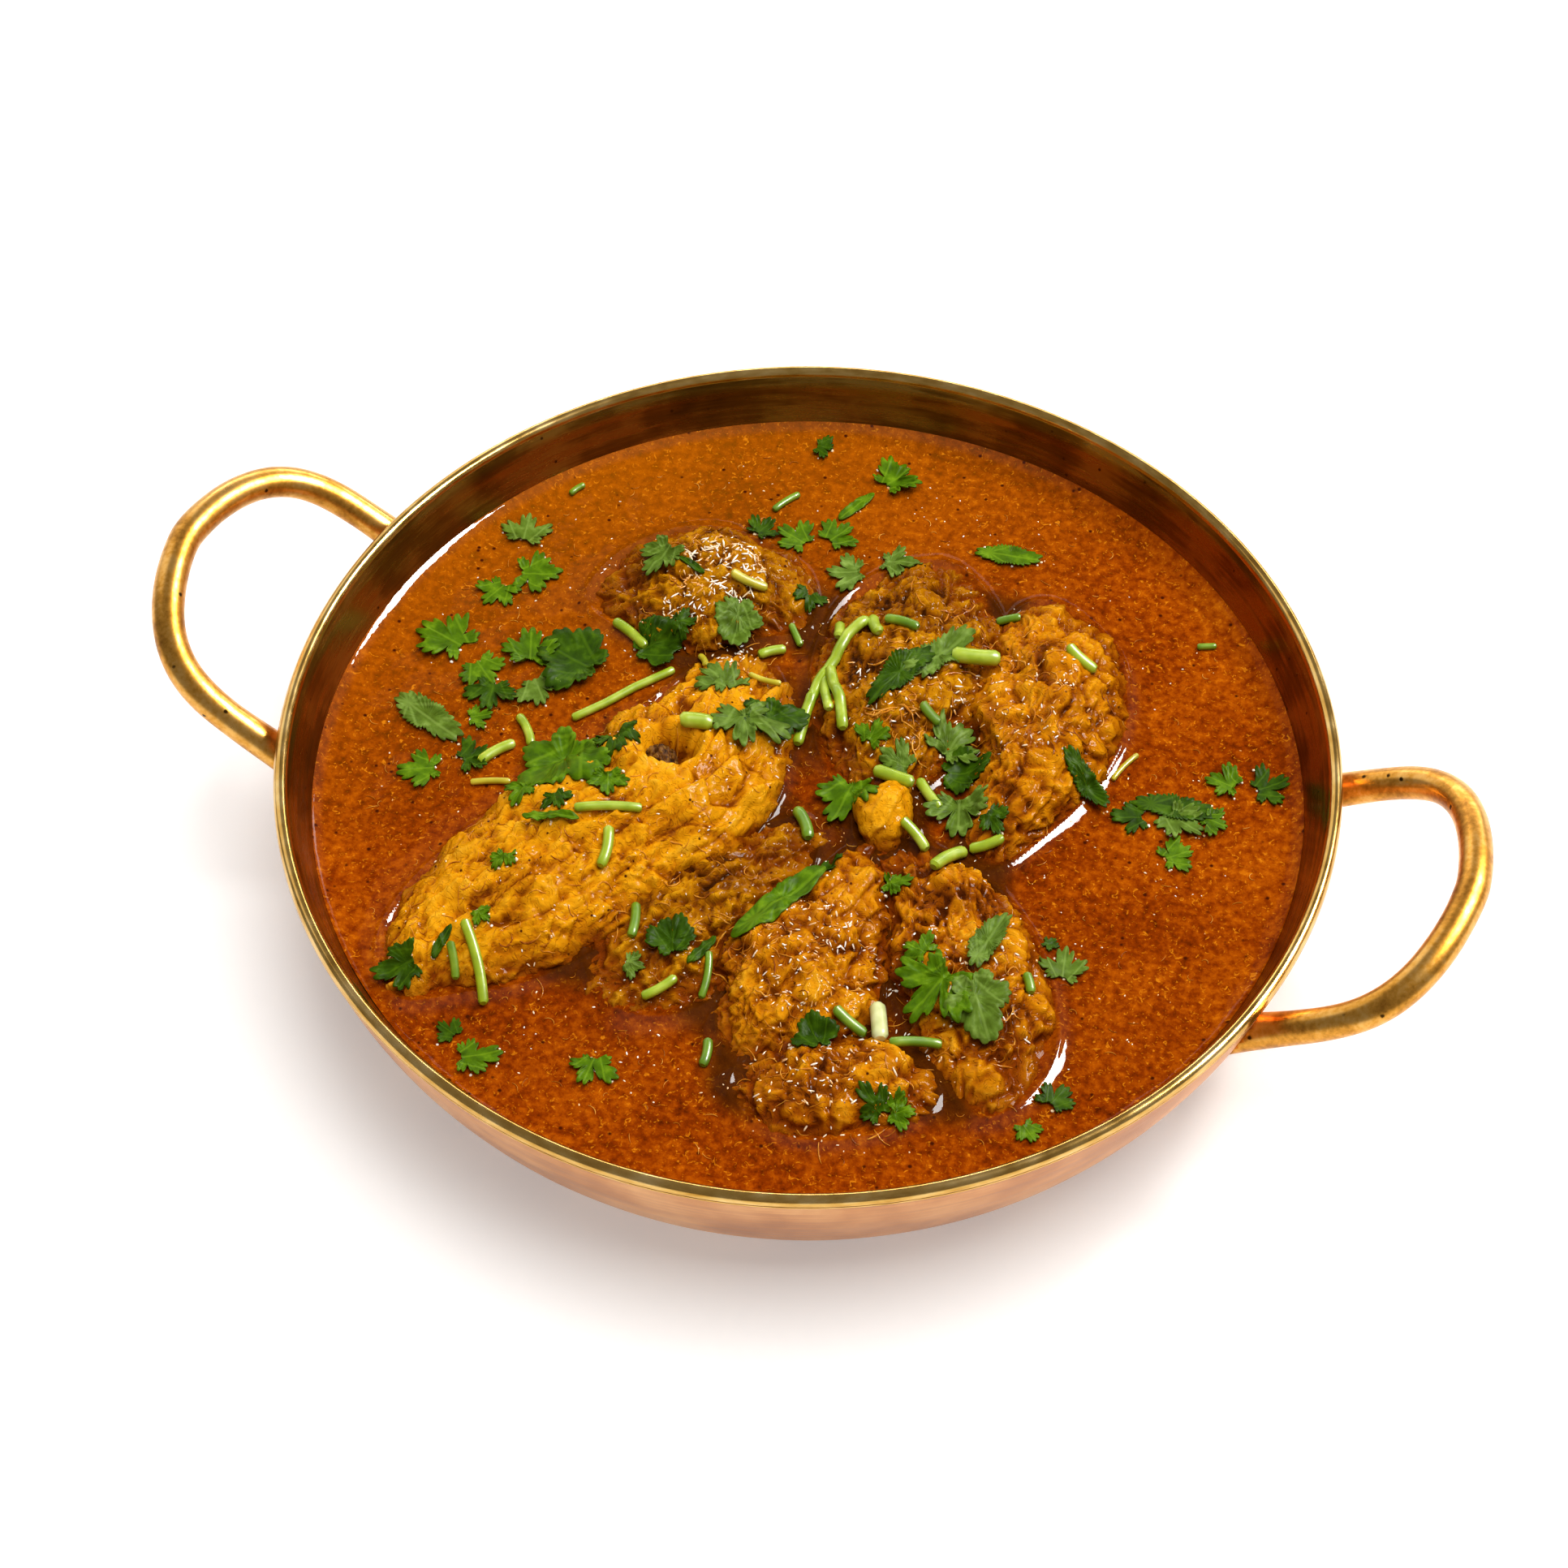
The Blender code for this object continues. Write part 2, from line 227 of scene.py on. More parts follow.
def addFloor():
    bm = bmesh.new()
    bmesh.ops.create_grid(bm, x_segments=2, y_segments=2, size=3.0)
    mesh = meshFrom(bm, "floor")
    mesh.materials.append(floorPaper())
    addObject("floor", mesh)


def addSky(strength):
    world = bpy.data.worlds.new("studio")
    bpy.context.scene.world = world
    world.use_nodes = True
    background = world.node_tree.nodes["Background"]
    background.inputs["Color"].default_value = (1.0, 0.985, 0.97, 1.0)
    background.inputs["Strength"].default_value = strength


bpy.context.scene.view_settings.view_transform = "Standard"  # keeps the curry's strong colours
addCamera(studio)
for name, box in softBoxes.items():
    addSoftBox(name, box)
addSky(studio["skyStrength"])
addFloor()
print("camera, light and floor made")


pan = {
    "height": 0.0500,
    "rimRadius": 0.1300,
    "shellRadius": 0.1295,
    "footRadius": 0.1048,
    "shellPower": 1.55,
    "shellWall": 0.0012,
    "liningRadius": 0.1266,
    "liningFloorRadius": 0.1000,
    "liningPower": 1.29,
    "liningWall": 0.0014,
    "beadHeight": 0.0026,
    "gap": 0.0003,
    "lip": [(0.05, 2.0), (0.5, 2.12), (0.5, 2.3), (0.1, 2.36), (0.02, 2.6), (0.15, 2.82)],
    "turnSteps": 224,
    "wallSteps": 26,
    "shellDent": 0.00010,  # beaten by hand, so the wall waves a little
}


def bowlWall(topRadius, floorRadius, depth, power, start, steps):
    points = []
    for step in range(steps + 1):
        below = start + (depth - start) * math.sin(0.5 * math.pi * step / steps)
        rounding = max(0.0, 1.0 - (below / depth) ** power) ** (1.0 / power)
        points.append((floorRadius + (topRadius - floorRadius) * rounding, -below))
    return points


def shiftedWall(points, distance):
    shifted = []
    for index, (radius, z) in enumerate(points):
        above = points[max(index - 1, 0)]
        below = points[min(index + 1, len(points) - 1)]
        along = Vector((below[0] - above[0], below[1] - above[1])).normalized()
        if index == len(points) - 1:
            along = Vector((-1.0, 0.0))
        shifted.append((radius - along.y * distance, z + along.x * distance))
    return shifted


def liningDepth():
    return pan["height"] - pan["shellWall"] - pan["gap"] - pan["liningWall"]


def liningWall(start, steps):
    return bowlWall(pan["liningRadius"], pan["liningFloorRadius"], liningDepth(),
                    pan["liningPower"], start, steps)


def liningRadiusAt(z):  # inside radius of the brass wall at this height
    below = (pan["height"] - z) / liningDepth()
    rounding = (1.0 - below ** pan["liningPower"]) ** (1.0 / pan["liningPower"])
    span = pan["liningRadius"] - pan["liningFloorRadius"]
    return pan["liningFloorRadius"] + span * rounding


def turned(profile, steps):  # a closed solid from a profile that starts and ends on the axis
    bm = bmesh.new()
    verts = [bm.verts.new((radius, 0.0, z + pan["height"])) for radius, z in profile]
    edges = [bm.edges.new(pair) for pair in zip(verts, verts[1:])]
    bmesh.ops.spin(bm, geom=verts + edges, cent=(0.0, 0.0, 0.0), axis=up,
                   angle=2.0 * math.pi, steps=steps, use_merge=True)
    bmesh.ops.remove_doubles(bm, verts=bm.verts, dist=0.005 * mm)
    bmesh.ops.dissolve_degenerate(bm, edges=bm.edges, dist=0.005 * mm)
    bmesh.ops.recalc_face_normals(bm, faces=bm.faces)
    return bm


# Spun copper sheet, hand brushed round the pan: a pinkish metal with fine level streaks,
# darker tarnish in patches and a soft, wide highlight.
def spunCopper():
    finish, tree, shader, spot = newFinish("spun copper, brushed")
    stretched = addNode(tree, "Mapping", {"Scale": (1.0, 1.0, 34.0)}, {"Vector": spot})
    streaks = addNode(tree, "TexNoise",
        {"Scale": perMetre(34.0), "Detail": 8.0, "Roughness": 0.6}, {"Vector": stretched})
    fine = addNode(tree, "TexNoise", {"Scale": perMetre(2.2), "Detail": 3.0},
        {"Vector": stretched})
    tarnish = addNode(tree, "TexNoise", {"Scale": perMetre(26.0), "Detail": 4.0},
        {"Vector": spot})
    mixed = addNode(tree, "Math", {"operation": "MULTIPLY_ADD", 1: 0.55},
        {0: streaks, 2: tarnish})
    tone = addNode(tree, "ValToRGB",
        {"stops": [(0.60, "#B27648"), (0.77, "#CE915B"), (0.94, "#E2AC74")]}, {"Fac": mixed})
    rough = addNode(tree, "MapRange",
        {"From Min": 0.3, "From Max": 0.7, "To Min": 0.30, "To Max": 0.46}, {"Value": streaks})
    bump = addNode(tree, "Bump", {"Strength": 0.22, "Distance": 0.1 * mm}, {"Height": fine})
    setNode(shader, {"Metallic": 1.0}, {"Base Color": tone, "Roughness": rough, "Normal": bump})
    return finish


# Tinned-off brass lining worn by spoons and heat: brown gold with streaks round the wall,
# paler rubs, small specks, and a half dull shine.
def wornBrass():
    finish, tree, shader, spot = newFinish("brass lining, worn by cooking")
    stretched = addNode(tree, "Mapping", {"Scale": (1.0, 1.0, 14.0)}, {"Vector": spot})
    streaks = addNode(tree, "TexNoise",
        {"Scale": perMetre(26.0), "Detail": 8.0, "Roughness": 0.62}, {"Vector": stretched})
    rubs = addNode(tree, "TexNoise", {"Scale": perMetre(22.0), "Detail": 3.0}, {"Vector": spot})
    mixed = addNode(tree, "Math", {"operation": "MULTIPLY_ADD", 1: 0.8}, {0: streaks, 2: rubs})
    tone = addNode(tree, "ValToRGB",
        {"stops": [(0.60, "#523810"), (0.84, "#785318"), (1.0, "#A27A32")]}, {"Fac": mixed})
    specked = withSpecks(tree, spot, 6.0, 0.05, 0.09, "#4A300E", tone)
    rough = addNode(tree, "MapRange",
        {"From Min": 0.3, "From Max": 0.7, "To Min": 0.34, "To Max": 0.22}, {"Value": streaks})
    bump = addNode(tree, "Bump", {"Strength": 0.30, "Distance": 0.12 * mm}, {"Height": streaks})
    setNode(shader, {"Metallic": 1.0},
        {"Base Color": specked, "Roughness": rough, "Normal": bump})
    return finish


# The rolled rim is the same brass polished by hands: a clear gold with hairline scratches.
def polishedBrass():
    finish, tree, shader, spot = newFinish("brass rim, polished")
    stretched = addNode(tree, "Mapping", {"Scale": (1.0, 1.0, 5.0)}, {"Vector": spot})
    stops = [(0.3, "#B98A3C"), (0.5, "#D2A75A"), (0.75, "#E6C483")]
    wear, tone = mottled(tree, stretched, 7.0, 5.0, stops)
    rough = addNode(tree, "MapRange",
        {"From Min": 0.3, "From Max": 0.7, "To Min": 0.14, "To Max": 0.24}, {"Value": wear})
    bump = addNode(tree, "Bump", {"Strength": 0.15, "Distance": 0.08 * mm}, {"Height": wear})
    setNode(shader, {"Metallic": 1.0}, {"Base Color": tone, "Roughness": rough, "Normal": bump})
    return finish


def makeShell():
    start = pan["beadHeight"] + pan["gap"]
    outside = bowlWall(pan["shellRadius"], pan["footRadius"], pan["height"],
                       pan["shellPower"], start, pan["wallSteps"])
    inside = shiftedWall(outside, -pan["shellWall"])
    profile = [(0.0, outside[-1][1])] + outside[::-1] + inside + [(0.0, inside[-1][1])]
    bm = turned(profile, pan["turnSteps"])
    for vert in bm.verts:
        x, y, z = vert.co
        radius = math.hypot(x, y)
        if z > 4.0 * mm and radius > 0.09:
            wave = noise.noise(Vector((x, y, z)) / 0.021) * smoothStep(4.0 * mm, 12.0 * mm, z)
            vert.co += Vector((x, y, 0.0)) / radius * wave * pan["shellDent"]
    addPiece("pan_shell_copper", bm, [spunCopper()], ["pan_shell"], 40.0)


# The rim's rolled edge: up from the wall's inside, over a round bead, and down to a thin
# folded lip with a groove above it.
def rimBead():
    middle = 0.5 * (pan["rimRadius"] + pan["liningRadius"])
    halfWidth = 0.5 * (pan["rimRadius"] - pan["liningRadius"])
    points = []
    steps = 18
    for step in range(1, steps):
        angle = math.pi * (1.0 - step / steps)
        rise = math.sin(angle) ** 0.75
        points.append((middle + halfWidth * math.cos(angle), -pan["beadHeight"] * (1.0 - rise)))
    return points


def makeLining():
    inside = liningWall(pan["beadHeight"], pan["wallSteps"])
    outside = shiftedWall(inside, pan["liningWall"])
    rim = pan["rimRadius"]
    lip = [(rim - inward * mm, -below * mm) for inward, below in pan["lip"]]
    lip.append((outside[0][0] + 0.1 * mm, -2.86 * mm))
    profile = [(0.0, inside[-1][1])] + inside[::-1] + rimBead() + lip + outside[1:]
    profile.append((0.0, outside[-1][1]))
    bm = turned(profile, pan["turnSteps"])
    beadStart = pan["height"] - 1.7 * mm
    for face in bm.faces:
        spot = face.calc_center_median()
        if spot.z > beadStart or (spot.z > pan["height"] - 3.2 * mm and spot.xy.length > 0.1285):
            face.material_index = 1
    addPiece("pan_lining_brass", bm, [wornBrass(), polishedBrass()], ["pan_lining"], 50.0)


makeShell()
makeLining()
print("pan made")


handles = {
    "rod": 0.0080,
    "halfSpread": 0.0375,
    "reach": {"handle_left": 0.0508, "handle_right": 0.0478},
    "side": {"handle_left": -1.0, "handle_right": 1.0},
    "tilt": math.radians(33.5),
    "footDepth": 0.0136,
    "spreadPower": 1.30,
    "reachPower": 0.44,
    "flare": 0.45,
    "sides": 32,
    "stations": 96,
}


# Cast brass rod bent by hand: dark gold in the hollows, bright where hands rub it, with
# black pits.
def agedBrass():
    finish, tree, shader, spot = newFinish("cast brass, aged")
    cloud = addNode(tree, "TexNoise", {"Scale": perMetre(9.0), "Detail": 6.0, "Roughness": 0.62},
        {"Vector": spot})
    grain = addNode(tree, "TexNoise", {"Scale": perMetre(1.1), "Detail": 3.0}, {"Vector": spot})
    mixed = addNode(tree, "Math", {"operation": "MULTIPLY_ADD", 1: 0.35}, {0: grain, 2: cloud})
    tone = addNode(tree, "ValToRGB",
        {"stops": [(0.50, "#A06A24"), (0.66, "#D09238"), (0.80, "#E2AC5A")]}, {"Fac": mixed})
    pits = addNode(tree, "TexVoronoi", {"Scale": perMetre(7.0), "Randomness": 1.0},
        {"Vector": spot})
    ragged = addNode(tree, "Math", {"operation": "MULTIPLY_ADD", 1: 0.10}, {0: grain, 2: pits})
    pitMask = addNode(tree, "MapRange", {"From Min": 0.105, "From Max": 0.15}, {"Value": ragged})
    pitted = addNode(tree, "Mix", {"data_type": "RGBA", 6: "#3A260C"}, {0: pitMask, 7: tone})
    rough = addNode(tree, "MapRange",
        {"From Min": 0.35, "From Max": 0.75, "To Min": 0.37, "To Max": 0.25}, {"Value": cloud})
    bump = addNode(tree, "Bump", {"Strength": 0.18, "Distance": 0.12 * mm}, {"Height": mixed})
    setNode(shader, {"Metallic": 1.0},
        {"Base Color": pitted.outputs[2], "Roughness": rough, "Normal": bump})
    return finish


def evenlySpaced(line, steps):
    lengths = [0.0]
    for before, after in zip(line, line[1:]):
        lengths.append(lengths[-1] + (after - before).length)
    points = []
    index = 0
    for step in range(steps + 1):
        wanted = lengths[-1] * step / steps
        while index < len(line) - 2 and lengths[index + 1] < wanted:
            index += 1
        share = (wanted - lengths[index]) / (lengths[index + 1] - lengths[index])
        points.append(line[index].lerp(line[index + 1], share))
    return points


def handleLine(reach):
    footX = math.sqrt((pan["shellRadius"] - 1.5 * mm) ** 2 - handles["halfSpread"] ** 2)
    footZ = pan["height"] - handles["footDepth"]
    outward = Vector((math.cos(handles["tilt"]), 0.0, math.sin(handles["tilt"])))
    fineSteps = 400
    line = []
    for step in range(fineSteps + 1):
        angle = math.pi * step / fineSteps
        spread = math.copysign(abs(math.cos(angle)) ** handles["spreadPower"], math.cos(angle))
        out = reach * math.sin(angle) ** handles["reachPower"] if 0 < step < fineSteps else 0.0
        foot = Vector((footX, spread * handles["halfSpread"], footZ))
        line.append(foot + outward * out)
    line.insert(0, line[0] - outward * handles["rod"])
    line.append(line[-1] - outward * handles["rod"])
    return evenlySpaced(line, handles["stations"])


# A ring pushed along a line, one extrusion for each point. A frame is a point and the ring's
# two half axes.
def sweptTube(bm, frames, sides):
    made = bmesh.ops.create_circle(bm, cap_ends=False, segments=sides, radius=1.0)
    ring = made["verts"]
    unit = [vert.co.copy() for vert in ring]
    edges = list(dict.fromkeys(edge for vert in ring for edge in vert.link_edges))
    firstEdges = list(edges)
    for index, (point, across, over) in enumerate(frames):
        if index:
            grown = bmesh.ops.extrude_edge_only(bm, edges=edges)["geom"]
            newVerts = [item for item in grown if isinstance(item, bmesh.types.BMVert)]
            edges = [item for item in grown if isinstance(item, bmesh.types.BMEdge)
                     and all(vert in set(newVerts) for vert in item.verts)]
            spots = {tuple(round(c, 7) for c in vert.co): i for i, vert in enumerate(ring)}
            ordered = [None] * sides
            for vert in newVerts:
                ordered[spots[tuple(round(c, 7) for c in vert.co)]] = vert
            ring = ordered
        for vert, spot in zip(ring, unit):
            vert.co = point + across * spot.x + over * spot.y
    bmesh.ops.edgeloop_fill(bm, edges=firstEdges)
    bmesh.ops.edgeloop_fill(bm, edges=edges)
    return ring


def makeHandle(name, finish, wallRoom):
    line = handleLine(handles["reach"][name])
    flatOfLoop = Vector((-math.sin(handles["tilt"]), 0.0, math.cos(handles["tilt"])))
    frames = []
    for index, point in enumerate(line):
        before = line[max(index - 1, 0)]
        after = line[min(index + 1, len(line) - 1)]
        along = (after - before).normalized()
        sideways = flatOfLoop.cross(along).normalized()
        share = abs(1.0 - 2.0 * index / handles["stations"])
        flare = 1.0 + handles["flare"] * share ** 8
        uneven = 1.0 + 0.025 * noise.noise(point / 0.011 + Vector((handles["side"][name], 0, 0)))
        half = 0.5 * handles["rod"] * uneven
        frames.append((point, sideways * half * flare, flatOfLoop * half))
    bm = bmesh.new()
    sweptTube(bm, frames, handles["sides"])
    if handles["side"][name] < 0.0:
        bmesh.ops.scale(bm, vec=(-1.0, 1.0, 1.0), verts=bm.verts)
    bmesh.ops.recalc_face_normals(bm, faces=bm.faces)
    piece = addPiece(name + "_brass", bm, [finish], [name], 50.0)
    cut = piece.modifiers.new("end at the wall", "BOOLEAN")
    cut.operation = "DIFFERENCE"
    cut.solver = "EXACT"
    cut.object = wallRoom
    return piece


def applied(piece):  # bakes the piece's modifiers into its mesh
    bpy.context.view_layer.update()
    graph = bpy.context.evaluated_depsgraph_get()
    mesh = bpy.data.meshes.new_from_object(piece.evaluated_get(graph))
    piece.modifiers.clear()
    piece.data = mesh


def makeHandles():
    outside = bowlWall(pan["shellRadius"], pan["footRadius"], pan["height"],
                       pan["shellPower"], pan["beadHeight"] + pan["gap"], pan["wallSteps"])
    outside = shiftedWall(outside, -0.1 * mm)
    profile = [(0.0, outside[-1][1])] + outside[::-1] + [(0.0, outside[0][1])]
    wallRoom = addObject("wallRoom", meshFrom(turned(profile, pan["turnSteps"]), "wallRoom"))
    finish = agedBrass()
    for name in ("handle_left", "handle_right"):
        applied(makeHandle(name, finish, wallRoom))
    bpy.data.objects.remove(wallRoom, do_unlink=True)


makeHandles()
print("handles made")


# A row is one point of a piece's line in mm: x, y, z, half its width, half its thickness.
# Bundle, knob, wrinkle and strand are the heights in mm of its long muscles, round bumps,
# skin wrinkles and fibres. A mark is x, y, two half sizes, a turn and a height.
chicken = {
    "chicken_leg": {
        "line": [(-70, -95, 30, 16, 10), (-66, -78, 31, 24, 14), (-54, -57, 31, 26, 16),
                 (-43, -37, 31, 25, 17), (-31, -17, 32, 27, 17), (-27, 7, 32, 28, 16),
                 (-28, 33, 31, 26, 14)],
        "seed": 3, "tone": "pale", "bundle": 0.79, "flap": 2.0, "knob": 0.3,
        "wrinkle": 0.4, "strand": 0.4,
        "marks": [(-33, -8, 8, 6, 20, -10.0), (-44, -5, 5, 4, 60, 2.6), (-41, -17, 5, 3, 0, 2.2),
                  (-22, -30, 9, 6, 40, 1.5), (-34, 4, 5, 4, 0, -3.0), (-58, 6, 6, 5, 0, 2.0)],
    },
    "chicken_breast": {
        "line": [(36, 79, 28, 12, 9), (43, 62, 30, 21, 13), (50, 44, 31, 20, 16),
                 (52, 24, 31, 17, 16), (50, 4, 30, 14, 15), (48, -16, 28, 11, 11)],
        "seed": 11, "tone": "mid", "bundle": 0.3, "flap": 1.3, "knob": 0.75,
        "wrinkle": 0.5, "strand": 0.1,
        "marks": [(49, 50, 8, 7, 0, 1.6), (49, 20, 7, 6, 0, 1.8), (45, 34, 7, 4, 0, -1.6)],
    },
    "chicken_nub": {
        "line": [(22, 5, 33, 7, 8), (22, -6, 34, 8, 10), (23, -17, 32, 6, 7)],
        "seed": 29, "tone": "pale", "bundle": 0.1, "flap": 0.8, "knob": 0.4,
        "wrinkle": 0.25, "strand": 0.1,
        "marks": [],
    },
    "chicken_end": {
        "line": [(9, -93, 27, 9, 8), (23, -87, 29, 15, 12), (42, -81, 30, 15, 12),
                 (60, -76, 28, 12, 11)],
        "seed": 43, "tone": "mid", "bundle": 0.2, "flap": 1.5, "knob": 1.1,
        "wrinkle": 0.5, "strand": 0.1,
        "marks": [(30, -80, 6, 4, 20, 2.0), (46, -76, 5, 4, 0, 1.6)],
    },
    "chicken_thigh": {
        "line": [(23, -11, 31, 11, 8), (21, -31, 31, 15, 14), (18, -50, 31, 20, 15),
                 (17, -64, 30, 20, 15), (14, -78, 28, 16, 12), (11, -92, 27, 11, 8)],
        "seed": 31, "tone": "mid", "bundle": 0.2, "flap": 1.5, "knob": 0.75,
        "wrinkle": 0.55, "strand": 0.1,
        "marks": [(29, -52, 4, 14, -12, -1.6), (17, -23, 3, 4, 0, 2.5), (26, -27, 4, 5, 0, 2.0)],
    },
    "chicken_skin_side": {
        "line": [(11, 84, 28, 17, 9), (11, 66, 30, 26, 12), (12, 46, 30, 26, 13),
                 (14, 26, 30, 23, 13), (16, 8, 29, 20, 12), (19, -9, 27, 15, 10)],
        "seed": 17, "tone": "dark", "bundle": 0.56, "flap": 1.6, "knob": 0.6,
        "wrinkle": 0.6, "strand": 0.25,
        "marks": [(17, 20, 8, 9, 0, 2.2)],
    },
    "chicken_wing": {
        "line": [(22, -10, 29, 11, 9), (37, -22, 31, 17, 12), (50, -36, 31, 19, 12),
                 (60, -50, 31, 19, 12), (67, -65, 30, 20, 11), (70, -83, 29, 15, 10)],
        "seed": 41, "tone": "mid", "bundle": 0.4, "flap": 1.7, "knob": 0.9,
        "wrinkle": 0.5, "strand": 0.2,
        "marks": [(46, -24, 7, 5, -40, 1.8), (70, -66, 4, 3, 0, -2.5)],
    },
    "chicken_strip": {
        "line": [(8, -6, 28, 10, 8), (1, -23, 29, 15, 11), (-8, -41, 29, 20, 12),
                 (-15, -57, 29, 23, 11), (-18, -73, 28, 23, 10), (-21, -88, 26, 14, 8)],
        "seed": 37, "tone": "dark", "bundle": 0.56, "flap": 1.5, "knob": 0.6,
        "wrinkle": 0.7, "strand": 0.3,
        "marks": [],
    },
    "chicken_back": {
        "line": [(-76, 34, 28, 13, 9), (-60, 44, 30, 22, 12), (-44, 50, 31, 23, 13),
                 (-28, 51, 30, 19, 12), (-13, 44, 28, 12, 8)],
        "seed": 23, "tone": "dark", "bundle": 0.3, "flap": 1.3, "knob": 0.7,
        "wrinkle": 0.7, "strand": 0.25,
        "marks": [],
    },
}
flesh = {
    "gravyLevel": 0.0335,
    "stepSize": 0.00052,
    "fewestSteps": 56,
    "topShare": 0.5,  # crowds the steps on the side that shows
    "endBluntness": 2.2,
    "bumpHeight": 0.0024,
    "bumpSize": 0.013,
    "bundleWidth": 0.0062,
    "bundleLength": 0.019,
    "knobSize": 0.0098,
    "flapLength": 0.0125,
    "flapWidth": 0.0062,
    "flapLean": Vector((0.8, -0.5, 0.0)),
    "calmSize": 0.014,
    "wrinkleSize": 0.0023,
    "strandWidth": 0.0014,
    "strandLength": 0.011,
    "warp": 0.0030,
    "warpSize": 0.007,
    "driftSize": 0.015,
    "lumpMean": 0.7,  # what lumps() gives on the whole
    "smallKnobs": 0.45,  # size of the finer knobs beside the large ones
    "smallFlaps": (2.3, 2.1, 0.42),  # how much finer each way, and their share of the height
    "freshTone": 0.4,  # under the gravy
    "patchSize": 0.012,
    # painted shade: meat closer than crowdReach to another piece is darkened by up to crowdShade
    "crowdReach": 0.005,
    "crowdShade": 0.30,
    "soakedFrom": 0.0300,  # sauce stains the meat from this height down
    "soakedTo": 0.0360,
    # How strongly each kind of relief sets the meat's tone: painted shade darkens its creases and
    # hollows.
    "tones": {"bundle": 0.42, "knob": 0.42, "wrinkle": 0.26, "strand": 0.30, "flap": 0.10,
              "crease": 0.20, "patch": 0.20, "middle": 0.62},
    "palettes": {
        "pale": ["#703202", "#B26804", "#D48C08", "#E29C12", "#ECAC26"],
        "mid": ["#4A1C01", "#884202", "#B46A04", "#CC8208", "#DE9A18"],
        "dark": ["#3A1801", "#703801", "#9C5E02", "#BA7A06", "#CE9212"],
    },
}


# Braised chicken under a coat of curry: matt pale meat where the sauce ran off, painted shade
# that browns the folds, the deep hollows and the places where pieces meet, and a wet shine
# over all of it.
def curriedMeat(tone):
    finish, tree, shader, spot = newFinish("curried chicken, " + tone)
    # the tone worked out on the mesh: its relief, painted shade and random patches
    hollow = addNode(tree, "Attribute", {"attribute_name": "reliefShade"})
    blotch = addNode(tree, "TexNoise", {"Scale": perMetre(7.0), "Detail": 5.0}, {"Vector": spot})
    grain = addNode(tree, "TexNoise", {"Scale": perMetre(1.0), "Detail": 3.0}, {"Vector": spot})
    level = addNode(tree, "Math", {"operation": "MULTIPLY_ADD", 1: 0.36, 2: -0.31}, {0: blotch})
    grained = addNode(tree, "Math", {"operation": "MULTIPLY_ADD", 1: 0.30}, {0: grain, 2: level})
    lumped = addNode(tree, "Math", {"operation": "ADD"}, {0: grained, 1: hollow.outputs["Fac"]})
    # Contours of a soft noise give short curled lines, like the crinkles of cooked skin.
    curl = addNode(tree, "TexNoise", {"Scale": perMetre(4.6), "Detail": 1.0, "Distortion": 0.6},
        {"Vector": spot})
    contour = addNode(tree, "Math", {"operation": "PINGPONG", 1: 0.055}, {0: curl})
    crinkle = addNode(tree, "MapRange",
        {"From Min": 0.004, "From Max": 0.017, "To Min": 1.0, "To Max": 0.0}, {"Value": contour})
    breaks = addNode(tree, "MapRange", {"From Min": 0.46, "From Max": 0.54}, {"Value": grain})
    crinkleMask = addNode(tree, "Math", {"operation": "MULTIPLY"}, {0: crinkle, 1: breaks})
    height = addNode(tree, "Math", {"operation": "MULTIPLY_ADD", 1: -0.16},
        {0: crinkleMask, 2: lumped})
    stops = list(zip((0.05, 0.28, 0.52, 0.74, 0.95), flesh["palettes"][tone]))
    meat = addNode(tree, "ValToRGB", {"stops": stops}, {"Fac": height})
    place = addNode(tree, "SeparateXYZ", links={0: spot})
    ragged = addNode(tree, "Math", {"operation": "MULTIPLY_ADD", 1: -0.007},
        {0: blotch, 2: place.outputs["Z"]})
    soaked = addNode(tree, "MapRange",
        {"From Min": flesh["soakedFrom"], "From Max": flesh["soakedTo"]}, {"Value": ragged})
    sauced = addNode(tree, "Mix", {"data_type": "RGBA", 6: "#7A3203"}, {0: soaked, 7: meat})
    spiced = withSpecks(tree, spot, 4.2, 0.06, 0.11, "#4E2206", sauced.outputs[2])
    bumpHeight = addNode(tree, "Math", {"operation": "MULTIPLY_ADD", 1: -0.55},
        {0: crinkleMask, 2: grain})
    bump = addNode(tree, "Bump", {"Strength": 0.75, "Distance": 0.4 * mm}, {"Height": bumpHeight})
    wetBump = addNode(tree, "Bump", {"Strength": 0.3, "Distance": 0.3 * mm}, {"Height": curl})
    setNode(shader, {"Roughness": 0.6, "Specular IOR Level": 0.0, "Coat Weight": 0.09,
            "Coat Roughness": 0.05},
        {"Base Color": spiced, "Normal": bump, "Coat Normal": wetBump})
    return finish


def alongLine(rows, share):  # the point and half sizes at a share of a smooth curve
    place = share * (len(rows) - 1)
    index = min(int(place), len(rows) - 2)
    t = place - index
    before = rows[max(index - 1, 0)]
    after = rows[min(index + 2, len(rows) - 1)]
    values = []
    for p, a, b, n in zip(before, rows[index], rows[index + 1], after):
        bend = (2 * p - 5 * a + 4 * b - n) * t * t + (3 * a - p - 3 * b + n) * t ** 3
        values.append(0.5 * (2 * a + (b - p) * t + bend) * mm)
    return Vector(values[:3]), values[3], values[4]


